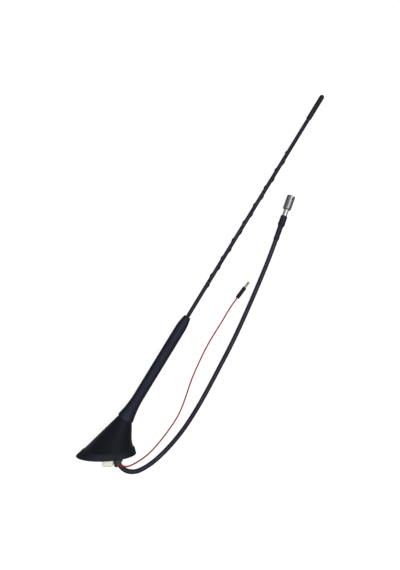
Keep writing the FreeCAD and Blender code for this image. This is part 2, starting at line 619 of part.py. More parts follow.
def make_shield_can():
    body = new_body("shield_can")
    plan = new_sketch(body, "plan", shift=("0", "0", BOARD_TOP))
    middle = (f"{BOARD_X} - can_x", "can_y")
    rectangle(plan, "can_length", "can_width", *middle)
    feature(body, "Pad", "can", plan, Length="can_height")
    inside = new_sketch(body, "inside", shift=("0", "0", BOARD_TOP))
    rectangle(inside, "can_length - 2 * can_wall", "can_width - 2 * can_wall", *middle)
    feature(body, "Pocket", "inside_can", inside, Length="can_height - can_wall", Reversed=True)
    vents = new_sketch(body, "vents", shift=("0", "0", f"{BOARD_TOP} + can_height"))
    for step in (-1, 0, 1):
        circle(vents, "vent_dia", f"{BOARD_X} - can_x + {step} * vent_pitch", "can_y")
    feature(body, "Pocket", "lid_vents", vents, Length="can_wall + 0.2")
    return body


def make_feed_strip():
    """Bronze strip: an eye below the insert, an upright leg and a foot soldered to the board."""
    body = new_body("feed_strip")
    below = "-foot_gap - socket_length"
    eye = new_sketch(body, "eye", shift=along_mast(below), tilt=MAST_TILT)
    rectangle(eye, "8 * strip_thick + strip_width / 2", "strip_width", "strip_width / 10 - 2 * strip_thick")
    feature(body, "Pad", "eye_plate", eye, Length="strip_thick", Reversed=True)
    hole = circle(new_sketch(body, "hole", shift=along_mast(below), tilt=MAST_TILT), "lug_dia")
    feature(body, "Pocket", "lug_hole", hole, Length="strip_thick + 0.2")
    under_x = f"(foot_x + ({below}) * cos(mast_angle))"
    under_z = f"(foot_z + ({below}) * sin(mast_angle))"
    leg_top = f"{under_z} + ({under_x} - {STRIP_X}) / tan(mast_angle) - 0.6 * strip_thick"
    leg = new_sketch(body, "leg", "XZ_Plane")
    outline(leg, (
        (f"{STRIP_X} - strip_thick / 2", BOARD_TOP),
        (f"{STRIP_X} + strip_foot", BOARD_TOP),
        (f"{STRIP_X} + strip_foot", f"{BOARD_TOP} + strip_thick"),
        (f"{STRIP_X} + strip_thick / 2", f"{BOARD_TOP} + strip_thick"),
        (f"{STRIP_X} + strip_thick / 2", leg_top),
        (f"{STRIP_X} - strip_thick / 2", leg_top),
    ))
    feature(body, "Pad", "upright_leg", leg, Length="strip_width", Midplane=True)
    return body


def screw_pair(label, head_low, head_dia, head_rise, shank_dia, shank_length, places, upward):
    """Two like pan-head screws, each a head and a shank along Z."""
    body_list = []
    for index, (x, y) in enumerate(places, start=1):
        head = doc.addObject("Part::Cylinder", f"{label}_head_{index}")
        shank = doc.addObject("Part::Cylinder", f"{label}_shank_{index}")
        head.setExpression("Radius", bound(f"({head_dia}) / 2"))
        head.setExpression("Height", bound(head_rise))
        shank.setExpression("Radius", bound(f"({shank_dia}) / 2"))
        shank.setExpression("Height", bound(shank_length))
        shank_low = f"{head_low} + {head_rise}" if upward else f"{head_low} - ({shank_length})"
        for item, low in ((head, head_low), (shank, shank_low)):
            item.setExpression("Placement.Base.x", bound(x))
            item.setExpression("Placement.Base.y", bound(y))
            item.setExpression("Placement.Base.z", bound(low))
        whole = doc.addObject("Part::Fuse", f"{label}_{index}")
        whole.Base = head
        whole.Tool = shank
        body_list.append(whole)
    pair = doc.addObject("Part::Compound", label)
    pair.Links = body_list
    pair.Label = label
    return pair


def make_mast_socket():
    """Brass insert with a threaded bore, two keying grooves and a solder pin below."""
    top = "-foot_gap"
    low = "-foot_gap - socket_length"
    rim = "socket_dia / 2"
    keyed = "socket_dia / 2 - socket_groove"
    bore = "stud_dia / 2 + thread_fit"
    bottom = "-stud_reach - bore_spare"
    corners = [
        ("0", f"{low} - lug_length"),
        ("lug_dia / 2", f"{low} - lug_length"),
        ("lug_dia / 2", low),
        (rim, low),
    ]
    for share in (0.3, 0.6):
        start = f"{low} + {share} * socket_length"
        corners += [(rim, start), (keyed, start), (keyed, f"{start} + 1.5"), (rim, f"{start} + 1.5")]
    corners += [
        (rim, top),
        (f"{bore} + 0.5", top),
        (bore, f"{top} - 0.5"),
        (bore, bottom),
        ("0", bottom),
    ]
    return turned("mast_socket", corners)


def make_mast_ferrule():
    """Brass ferrule: stud thread and ring recess below, crimped round the rod above."""
    rod = "winding_dia / 2"
    outer = "ferrule_dia / 2"
    crimped = "ferrule_dia / 2 - crimp_depth"
    corners = [
        ("seal_dia / 2 + seal_fit", "0"),
        ("ferrule_foot / 2", "0"),
        ("ferrule_foot / 2", "ferrule_foot_rise"),
        (outer, "ferrule_foot_rise"),
    ]
    for share in CRIMP_SHARES:
        start = f"ferrule_length - ferrule_socket + {share} * ferrule_socket - 1"
        corners += [(outer, start), (crimped, f"{start} + 0.4")]
        corners += [(crimped, f"{start} + 1.6"), (outer, f"{start} + 2")]
    corners += [
        (outer, "ferrule_length"),
        (rod, "ferrule_length"),
        (rod, "ferrule_length - ferrule_socket"),
        ("0", "ferrule_length - ferrule_socket"),
        ("0", "seal_recess + stud_seat"),
        ("stud_dia / 2", "seal_recess + stud_seat"),
        ("stud_dia / 2", "seal_recess"),
        ("seal_dia / 2 + seal_fit", "seal_recess"),
    ]
    return turned("mast_ferrule", corners)


def make_mast_boot():
    """Moulded boot: a foot that flares out over the cover, a long tube and a rounded upper end."""
    flare = "(boot_foot - boot_dia) / 2"
    ogive = "(boot_dia - boot_mouth) / 2"
    flare_radius = f"(flare_length^2 + {flare}^2) / (2 * {flare})"
    ogive_radius = f"(ogive_length^2 + {ogive}^2) / (2 * {ogive})"
    inner = "ferrule_dia / 2"
    crimped = "ferrule_dia / 2 - crimp_depth"
    corners = [
        ("ferrule_foot / 2", "0"),
        ("boot_foot / 2", "0", f"-({flare_radius})"),
        ("boot_dia / 2", "flare_length"),
        ("boot_dia / 2", "boot_length - ogive_length", ogive_radius),
        ("boot_mouth / 2", "boot_length"),
        ("sleeve_dia / 2", "boot_length"),
        ("sleeve_dia / 2", "ferrule_length"),
        (inner, "ferrule_length"),
    ]
    for share in reversed(CRIMP_SHARES):
        start = f"ferrule_length - ferrule_socket + {share} * ferrule_socket - 1"
        corners += [(inner, f"{start} + 2"), (crimped, f"{start} + 1.6")]
        corners += [(crimped, f"{start} + 0.4"), (inner, start)]
    corners += [
        (inner, "ferrule_foot_rise"),
        ("ferrule_foot / 2", "ferrule_foot_rise"),
    ]
    return turned("mast_boot", corners)


def make_rod_sleeve():
    """Plastic sleeve of the rod with the helical ridge that keeps it from whistling in the wind."""
    body = new_body("rod_sleeve")
    upper = "mast_length - tip_length + tip_grip"
    tube = circle(new_sketch(body, "tube", shift=("0", "0", "ferrule_length")), "sleeve_dia")
    feature(body, "Pad", "sleeve", tube, Length=f"{upper} - ferrule_length")
    section = new_sketch(body, "section", "XZ_Plane")
    middle = "sleeve_dia / 2 + ridge_height - ridge_round"
    circle(section, "2 * ridge_round", middle, "ridge_start")
    ridge = feature(body, "AdditiveHelix", "wind_ridge", section, ReferenceAxis=(section, ["V_Axis"]),
                    Mode="pitch-turns-angle", Pitch="ridge_pitch", Turns="ridge_turns", LeftHanded=True)
    ridge.Visibility = True
    bore = circle(new_sketch(body, "bore", shift=("0", "0", upper)), "winding_dia")
    feature(body, "Pocket", "rod_bore", bore, Length=f"{upper} - ferrule_length + 1")
    return body


def make_tip_cap():
    """Cap with a round end, which grips the sleeve and, deeper, the core."""
    low = "mast_length - tip_length"
    corners = (
        ("sleeve_dia / 2", low),
        ("tip_dia / 2", low),
        ("tip_dia / 2", "mast_length - tip_dia / 2", "tip_dia / 2"),
        ("0", "mast_length"),
        ("0", f"{low} + tip_core_grip"),
        ("core_dia / 2", f"{low} + tip_core_grip"),
        ("core_dia / 2", f"{low} + tip_grip"),
        ("sleeve_dia / 2", f"{low} + tip_grip"),
    )
    return turned("tip_cap", corners)


def make_plug_shell():
    """Nickel-plated shell: a bore for the insulator and spring slots round its mouth."""
    back = "tail_length + sleeve_boot_length + neck_show"
    front = f"{back} + shell_length"
    body = turned("plug_shell", (
        ("neck_dia / 2", back),
        ("shell_dia / 2 - shell_chamfer", back),
        ("shell_dia / 2", f"{back} + shell_chamfer"),
        ("shell_dia / 2", f"{front} - 0.4"),
        ("shell_dia / 2 - 0.4", front),
        ("shell_bore / 2", front),
        ("shell_bore / 2", f"{back} + shell_back"),
        ("neck_dia / 2", f"{back} + shell_back"),
    ))
    mouth = new_sketch(body, "mouth", shift=("0", "0", front))
    rectangle(mouth, "shell_dia", "slot_width", "shell_dia / 2 + shell_bore / 4")
    slot = feature(body, "Pocket", "spring_slot", mouth, Length="slot_length")
    ring = body.newObject("PartDesign::PolarPattern", "spring_slots")
    ring.Originals = [slot]
    ring.Axis = (mouth, ["N_Axis"])
    ring.Angle = 360
    ring.setExpression("Occurrences", bound("slot_count"))
    body.Tip = ring
    return body


def rounded_route(points):
    """Straight runs joined by tangent arcs, each arc as large as its two runs allow."""
    edges = []
    radii = []
    start = points[0]
    for before, corner, after in zip(points, points[1:], points[2:]):
        inward = before - corner
        outward = after - corner
        cut = ARC_SHARE * min(inward.Length, outward.Length)
        turn = math.pi - inward.getAngle(outward)
        radius = cut / math.tan(turn / 2)
        first = corner + inward.normalize() * cut
        last = corner + outward.normalize() * cut
        bisector = (inward + outward).normalize()
        middle = corner + bisector * (radius / math.cos(turn / 2) - radius)
        edges.append(Part.LineSegment(start, first).toShape())
        edges.append(Part.Arc(first, middle, last).toShape())
        radii.append(round(radius, 1))
        start = last
    edges.append(Part.LineSegment(start, points[-1]).toShape())
    return Part.Wire(edges), radii


def make_lead(label, points, diameter):
    """A lead as one tube along its route."""
    path, radii = rounded_route(points)
    radius = diameter / 2
    ring = Part.Wire(Part.Circle(points[0], points[1] - points[0], radius).toShape())
    tube = path.makePipeShell([ring], True, True)
    full = math.pi * radius ** 2 * path.Length
    print(f"{label}: {path.Length:.1f} mm long, radii {radii}, volume {tube.Volume / full:.4f} of full")
    lead = doc.addObject("Part::Feature", label)
    lead.Shape = tube
    lead.Label = label
    return lead


def resting_frame():
    """Turn and height of the base on the table, lying on its rim and on the tip of the rod."""
    rim = size("rim_width / 2")
    tip = size("tip_dia / 2")
    reach = size("foot_z + (mast_length - tip_dia / 2) * sin(mast_angle)")
    lean = math.degrees(math.acos(tip / math.hypot(rim, reach)) - math.atan2(reach, rim))
    turn = FreeCAD.Rotation(X_AXIS, -(90 + lean))
    return FreeCAD.Placement(VECTOR(0, 0, rim * math.cos(math.radians(lean))), turn)


def plane_frame(start, direction):
    """Frame at a point whose Z runs along a direction."""
    return FreeCAD.Placement(start, FreeCAD.Rotation(Z_AXIS, direction))


base_pieces = [make_gasket(), make_cover(), make_base_plate(), make_locating_block(), make_cable_grommet(),
               make_amplifier_board(), make_shield_can(), make_feed_strip()]
base_pieces.append(turned("supply_capacitor", (
    ("0", BOARD_TOP),
    ("cap_dia / 2", BOARD_TOP),
    ("cap_dia / 2", f"{BOARD_TOP} + 0.8"),
    ("cap_dia / 2 - cap_groove", f"{BOARD_TOP} + 1.1"),
    ("cap_dia / 2", f"{BOARD_TOP} + 1.4"),
    ("cap_dia / 2", f"{BOARD_TOP} + cap_height"),
    ("0", f"{BOARD_TOP} + cap_height"),
)))
base_pieces.append(turned("supply_choke", (
    ("choke_bore / 2", BOARD_TOP),
    ("choke_dia / 2", BOARD_TOP),
    ("choke_dia / 2", f"{BOARD_TOP} + choke_height"),
    ("choke_bore / 2", f"{BOARD_TOP} + choke_height"),
)))
base_pieces.append(screw_pair(
    "cover_screws", "plate_lift + screw_sink - screw_head", "screw_head_dia", "screw_head", "screw_dia",
    "seat_height + boss_height - plate_lift - screw_sink - screw_bite_spare",
    ((FRONT_SCREW_X, "0"), (REAR_SCREW_X, "0")), True))
base_pieces.append(screw_pair(
    "board_screws", BOARD_TOP, "board_screw_head", "board_screw_rise", "board_screw_dia",
    "board_thick + board_screw_bite",
    ((FRONT_STANDOFF_X, "standoff_y"), (REAR_STANDOFF_X, "-standoff_y")), False))
mast_pieces = [make_mast_socket(), make_mast_ferrule(), make_mast_boot(), make_rod_sleeve(), make_tip_cap()]
mast_pieces.append(turned("mast_seal", (
    ("seal_bore / 2", "seal_play - foot_gap"),
    ("seal_dia / 2", "seal_play - foot_gap"),
    ("seal_dia / 2", "seal_recess - seal_play"),
    ("seal_bore / 2", "seal_recess - seal_play"),
)))
mast_pieces.append(turned("mast_stud", (
    ("0", "-stud_reach"),
    ("stud_dia / 2 - 0.5", "-stud_reach"),
    ("stud_dia / 2", "-stud_reach + 0.5"),
    ("stud_dia / 2", "seal_recess + stud_seat"),
    ("0", "seal_recess + stud_seat"),
)))
mast_pieces.append(turned("rod_core", (
    ("0", "ferrule_length - ferrule_socket"),
    ("core_dia / 2", "ferrule_length - ferrule_socket"),
    ("core_dia / 2", "mast_length - tip_length + tip_core_grip"),
    ("0", "mast_length - tip_length + tip_core_grip"),
)))
mast_pieces.append(turned("rod_winding", (
    ("core_dia / 2", "ferrule_length - ferrule_socket"),
    ("winding_dia / 2", "ferrule_length - ferrule_socket"),
    ("winding_dia / 2", "mast_length - tip_length + tip_grip"),
    ("core_dia / 2", "mast_length - tip_length + tip_grip"),
)))
boot_end = "tail_length + sleeve_boot_length"
plug_pieces = [make_plug_shell()]
plug_pieces.append(turned("coax_boot", (
    ("0", "0"),
    ("tail_dia / 2 - 0.3", "0"),
    ("tail_dia / 2", "0.3"),
    ("tail_dia / 2", "tail_length"),
    ("sleeve_boot_dia / 2 - 0.2", "tail_length"),
    ("sleeve_boot_dia / 2", "tail_length + 0.2"),
    ("sleeve_boot_dia / 2", boot_end),
    ("neck_dia / 2", boot_end),
    ("neck_dia / 2", f"{boot_end} - neck_grip"),
    ("0", f"{boot_end} - neck_grip"),
)))
plug_pieces.append(turned("plug_ferrule", (
    ("neck_bore / 2", f"{boot_end} - neck_grip"),
    ("neck_dia / 2", f"{boot_end} - neck_grip"),
    ("neck_dia / 2", f"{boot_end} + neck_show + shell_back"),
    ("neck_bore / 2", f"{boot_end} + neck_show + shell_back"),
)))
plug_pieces.append(turned("plug_insulator", (
    ("contact_dia / 2", f"{boot_end} + neck_show + shell_back"),
    ("shell_bore / 2", f"{boot_end} + neck_show + shell_back"),
    ("shell_bore / 2", f"{boot_end} + neck_show + shell_back + insulator_length"),
    ("contact_dia / 2", f"{boot_end} + neck_show + shell_back + insulator_length"),
)))
plug_pieces.append(turned("plug_contact", (
    ("0", f"{boot_end} + neck_show + shell_back"),
    ("contact_dia / 2", f"{boot_end} + neck_show + shell_back"),
    ("contact_dia / 2", f"{boot_end} + neck_show + shell_back + insulator_length + contact_reach"),
    ("contact_bore / 2", f"{boot_end} + neck_show + shell_back + insulator_length + contact_reach"),
    ("contact_bore / 2", f"{boot_end} + neck_show + shell_back + insulator_length"),
    ("0", f"{boot_end} + neck_show + shell_back + insulator_length"),
)))
bullet_pieces = [turned("bullet_sleeve", (
    ("0", "0"),
    ("bullet_sleeve_dia / 2 - 0.6", "0"),
    ("bullet_sleeve_dia / 2", "0.6"),
    ("bullet_sleeve_dia / 2", "bullet_sleeve_length - 0.4"),
    ("bullet_sleeve_dia / 2 - 0.4", "bullet_sleeve_length"),
    ("bullet_barrel / 2", "bullet_sleeve_length"),
    ("bullet_barrel / 2", "bullet_sleeve_length - bullet_grip"),
    ("0", "bullet_sleeve_length - bullet_grip"),
))]
bullet_end = "(bullet_sleeve_length + bullet_show)"
bullet_pieces.append(turned("bullet_pin", (
    ("0", "bullet_sleeve_length - bullet_grip"),
    ("bullet_barrel / 2", "bullet_sleeve_length - bullet_grip"),
    ("bullet_barrel / 2", "bullet_sleeve_length"),
    ("bullet_dia / 2", "bullet_sleeve_length"),
    ("bullet_dia / 2", f"{bullet_end} - waist_place - waist_length / 2"),
    ("bullet_neck / 2", f"{bullet_end} - waist_place - 0.15 * waist_length"),
    ("bullet_neck / 2", f"{bullet_end} - waist_place + 0.15 * waist_length"),
    ("bullet_dia / 2", f"{bullet_end} - waist_place + waist_length / 2"),
    ("bullet_dia / 2", f"{bullet_end} - bullet_dia / 2", "bullet_dia / 2"),
    ("0", bullet_end),
)))
doc.recompute()

rest = resting_frame()
foot_place = VECTOR(size("foot_x"), 0, size("foot_z"))
mast_place = rest * FreeCAD.Placement(foot_place, FreeCAD.Rotation(Y_AXIS, size(MAST_TILT)))
ridge_turn = FreeCAD.Placement(VECTOR(), FreeCAD.Rotation(Z_AXIS, size("ridge_phase")))
board_places = {
    "supply_capacitor": VECTOR(size(f"{BOARD_X} - cap_x"), size("cap_y"), 0),
    "supply_choke": VECTOR(size(f"{BOARD_X} + choke_x"), size("choke_y"), 0),
}
fall = math.radians(size("exit_angle"))
exit_point = VECTOR(size(EXIT_X), 0, -size("exit_depth"))
face_up = VECTOR(math.sin(fall), 0, math.cos(fall))
around = math.radians(size("wire_turn"))
wire_point = exit_point + (face_up * math.cos(around) - Y_AXIS * math.sin(around)) * size("wire_offset")
way_out = VECTOR(math.cos(fall), 0, -math.sin(fall))
coax_points = [rest.multVec(exit_point), rest.multVec(exit_point + way_out * size("coax_start"))]
coax_points += [VECTOR(*point) for point in COAX_ROUTE]
wire_points = [rest.multVec(wire_point), rest.multVec(wire_point + way_out * size("wire_start"))]
wire_points += [VECTOR(*point) for point in WIRE_ROUTE]
leads = [make_lead("coax_cable", coax_points, size("coax_dia")),
         make_lead("power_wire", wire_points, size("wire_dia"))]
plug_frame = plane_frame(coax_points[-1], coax_points[-1] - coax_points[-2])
bullet_frame = plane_frame(wire_points[-1], wire_points[-1] - wire_points[-2])

frames = {}
for piece in base_pieces:
    frames[piece] = rest * FreeCAD.Placement(board_places.get(piece.Label, VECTOR()), FreeCAD.Rotation())
for piece in mast_pieces:
    frames[piece] = mast_place * ridge_turn if piece.Label == "rod_sleeve" else mast_place
for piece in plug_pieces:
    frames[piece] = plug_frame
for piece in bullet_pieces:
    frames[piece] = bullet_frame
for piece in leads:
    frames[piece] = FreeCAD.Placement()
for piece, frame in frames.items():
    piece.Placement = frame
doc.recompute()

# The origin is the middle of the rigid pieces' box, on the table
rigid = FreeCAD.BoundBox()
for piece in base_pieces + mast_pieces:
    rigid.add(piece.Shape.optimalBoundingBox(False))
to_middle = VECTOR(-rigid.Center.x, -rigid.Center.y, 0)
for piece, frame in frames.items():
    piece.Placement = FreeCAD.Placement(to_middle, FreeCAD.Rotation()) * frame
doc.recompute()

faults = [item.Name for item in doc.Objects if "Invalid" in item.State or "Error" in item.State]
for piece in frames:
    if piece.Shape.isNull() or not piece.Shape.isValid():
        faults.append(piece.Label)
if faults:
    raise RuntimeError("these objects failed: " + ", ".join(faults))

os.makedirs("parts", exist_ok=True)
for piece in frames:
    piece.Shape.exportStep(f"parts/{piece.Label}.step")
foot = mast_place.Base + to_middle
axis = mast_place.Rotation.multVec(Z_AXIS)
print(f"base middle at {to_middle.x:.3f}, {to_middle.y:.3f}, turned {math.degrees(rest.Rotation.Angle):.3f}")
print(f"mast foot at {foot}, axis {axis}")
print(f"{len(frames)} pieces, box {rigid.XLength:.2f} x {rigid.YLength:.2f} x {rigid.ZLength:.2f}")
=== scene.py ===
"""Looks of a car roof antenna that lies on its side on a white table, seen from straight above.

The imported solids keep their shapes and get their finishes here. The two free leads, the shrunk
sleeves on their fittings, the screws and the mast's thread are made here in the solids' places.
"""

import json
import logging
import math
from dataclasses import dataclass
from enum import Enum

import bpy
from mathutils import Matrix, Vector

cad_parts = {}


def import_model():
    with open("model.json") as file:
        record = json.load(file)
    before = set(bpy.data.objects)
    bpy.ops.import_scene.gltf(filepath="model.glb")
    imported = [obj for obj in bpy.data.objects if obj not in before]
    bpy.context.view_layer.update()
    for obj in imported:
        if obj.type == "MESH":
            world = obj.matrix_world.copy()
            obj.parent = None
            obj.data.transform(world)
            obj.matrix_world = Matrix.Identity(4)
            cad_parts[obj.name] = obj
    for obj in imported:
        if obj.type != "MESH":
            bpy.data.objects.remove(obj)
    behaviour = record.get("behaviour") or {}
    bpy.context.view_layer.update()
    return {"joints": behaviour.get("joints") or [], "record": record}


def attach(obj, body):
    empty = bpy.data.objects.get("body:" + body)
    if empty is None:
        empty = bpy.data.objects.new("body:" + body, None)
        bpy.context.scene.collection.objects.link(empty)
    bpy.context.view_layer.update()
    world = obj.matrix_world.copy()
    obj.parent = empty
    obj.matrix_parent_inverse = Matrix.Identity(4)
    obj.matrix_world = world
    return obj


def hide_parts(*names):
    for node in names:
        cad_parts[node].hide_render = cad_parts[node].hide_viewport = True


LOG = logging.getLogger("roof_antenna")
MM = 0.001
Point = tuple[float, float, float]
Outline = tuple[tuple[float, float], ...]
WHITE = (1, 1, 1, 1)
UP = Vector((0, 0, 1))

# Share of a noise's range over which the tones drift, and over which the fine mark specks them
DRIFT_SPAN = (0.35, 0.65)
SPECK_SPAN = (0.3, 0.7)
# Turn of the rounded normal from the flat one, as a cosine, from unworn to worn, and the most wear
EDGE_SPAN = (0.995, 0.9)
MOST_WEAR = 0.5
BEVEL_SAMPLES = 6

# Vertices nearer than this are one
DOUBLES_MM = 0.004

# Pan head: its outline as shares of radius and height, its edge, and its cross recess as shares of
# the head's width, width and height; the end of the shank as a share of the shank's radius
HEAD_OUTLINE: Outline = ((0.4, 0.02), (0.7, 0.10), (0.9, 0.28), (0.98, 0.5), (1.0, 0.75))
HEAD_EDGE_MM = 0.1
RECESS_SHARES = (0.56, 0.13, 1.1)
POINT_SHARE = 0.6

# Shrunk sleeves, as radius and height in millimetres from the lead's end
COAX_SLEEVE_OUTLINE: Outline = (
    (0, 0), (2.44, 0), (2.70, 0.3), (2.92, 1.2), (3.00, 2.6), (2.84, 4.6), (2.76, 7.0), (2.84, 9.0),
    (3.02, 10.6), (2.82, 12.2), (2.84, 14.0), (3.04, 15.0), (2.96, 15.8), (3.30, 16.3), (3.72, 16.9),
    (3.84, 18.4), (3.66, 20.4), (3.74, 22.6), (3.58, 24.6), (3.64, 26.4), (3.46, 27.3), (3.10, 27.6),
    (2.63, 27.6), (2.63, 23.4), (0, 23.4),
)
BULLET_SLEEVE_OUTLINE: Outline = (
    (0, 0), (1.50, 0), (1.92, 0.3), (2.18, 1.0), (2.25, 2.0), (2.04, 3.2), (2.24, 4.4), (2.02, 5.6),
    (2.26, 6.8), (2.06, 8.0), (2.23, 9.2), (2.03, 10.4), (2.25, 11.6), (2.17, 12.9), (2.02, 13.8),
    (1.84, 14.2), (1.62, 14.2), (1.62, 8.2), (0, 8.2),
)

# The mast's foot from the base's middle on the table, and the roof plane's centre over it, in metres
FOOT_SHIFT = (0.0203, 0.0364442)
ROOF_HEIGHT = 0.0232144

# The leads from exit to fitting, in metres from the base's middle on the table
COAX_ROUTE: tuple[Point, ...] = (
    (0.013400, -0.010584, 0.023800),
    (0.017400, -0.016800, 0.024000),
    (0.0286, -0.0206, 0.0202),
    (0.0384, -0.0181, 0.0150),
    (0.0486, -0.0133, 0.0088),
    (0.0638, -0.0009, 0.0024),
    (0.0808, 0.0194, 0.0024),
    (0.0980, 0.0460, 0.0024),
    (0.1153, 0.0771, 0.0024),
    (0.1354, 0.1141, 0.0024),
    (0.1548, 0.1556, 0.0024),
    (0.1698, 0.1897, 0.0024),
    (0.1771, 0.2083, 0.0044),
    (0.1810, 0.2187, 0.0044),
)
WIRE_ROUTE: tuple[Point, ...] = (
    (0.014489, -0.009252, 0.026733),
    (0.016240, -0.010890, 0.026820),
    (0.0217, -0.0129, 0.0252),
    (0.0297, -0.0113, 0.0194),
    (0.0418, -0.0062, 0.0095),
    (0.0517, 0.0027, 0.0026),
    (0.0614, 0.0141, 0.00075),
    (0.0738, 0.0317, 0.00075),
    (0.0812, 0.0496, 0.00075),
    (0.0874, 0.0684, 0.00075),
    (0.0974, 0.0903, 0.00075),
    (0.1077, 0.1102, 0.00075),
    (0.1226, 0.1328, 0.00075),
    (0.1317, 0.1483, 0.00225),
    (0.1388, 0.1575, 0.00225),
)


class Lay(Enum):
    """How stiff a lead is and what it ends in."""

    COAXIAL = ("medium", "connector")
    SUPPLY = ("limp", "connector")


class Mark(Enum):
    """The mark that the making leaves on a surface, as its stretch across and along the axis."""

    GRAIN = (1.0, 1.0)
    STREAKS = (1.0, 0.05)
    RINGS = (0.04, 1.0)


def linear_colour(code: str) -> tuple[float, float, float, float]:
    """Turn an sRGB hex colour into linear values.

    Args:
        code: six hex digits after a hash mark.

    Returns:
        Red, green, blue and an alpha of 1.
    """
    parts = [int(code[start:start + 2], 16) / 255 for start in (1, 3, 5)]
    turned = [part / 12.92 if part <= 0.04045 else ((part + 0.055) / 1.055) ** 2.4 for part in parts]
    return (turned[0], turned[1], turned[2], 1.0)


def add_node(tree: bpy.types.NodeTree, kind: str, settings: dict | None = None,
             links: dict | None = None) -> bpy.types.Node:
    """Add a shader node with its settings and incoming links.

    Args:
        tree: the node tree.
        kind: the node's type name after "ShaderNode".
        settings: values by attribute name or by input name or number.
        links: source sockets by input name or number.

    Returns:
        The new node.
    """
    node = tree.nodes.new("ShaderNode" + kind)
    for key, value in (settings or {}).items():
        if isinstance(key, int) or key in node.inputs:
            node.inputs[key].default_value = value
        else:
            setattr(node, key, value)
    for key, socket in (links or {}).items():
        tree.links.new(socket, node.inputs[key])
    return node


def background_rays(tree: bpy.types.NodeTree) -> bpy.types.NodeSocket:
    """Tell the rays that show the background: straight, mirrored and let through.

    Args:
        tree: the node tree of the background.

    Returns:
        A socket that is 1 for these rays and 0 for the rest.
    """
    ray = add_node(tree, "LightPath")
    seen = add_node(tree, "Math", {"operation": "MAXIMUM"},
                    {0: ray.outputs["Is Camera Ray"], 1: ray.outputs["Is Glossy Ray"]})
    also = add_node(tree, "Math", {"operation": "MAXIMUM"},
                    {0: seen.outputs[0], 1: ray.outputs["Is Transmission Ray"]})
    return also.outputs[0]


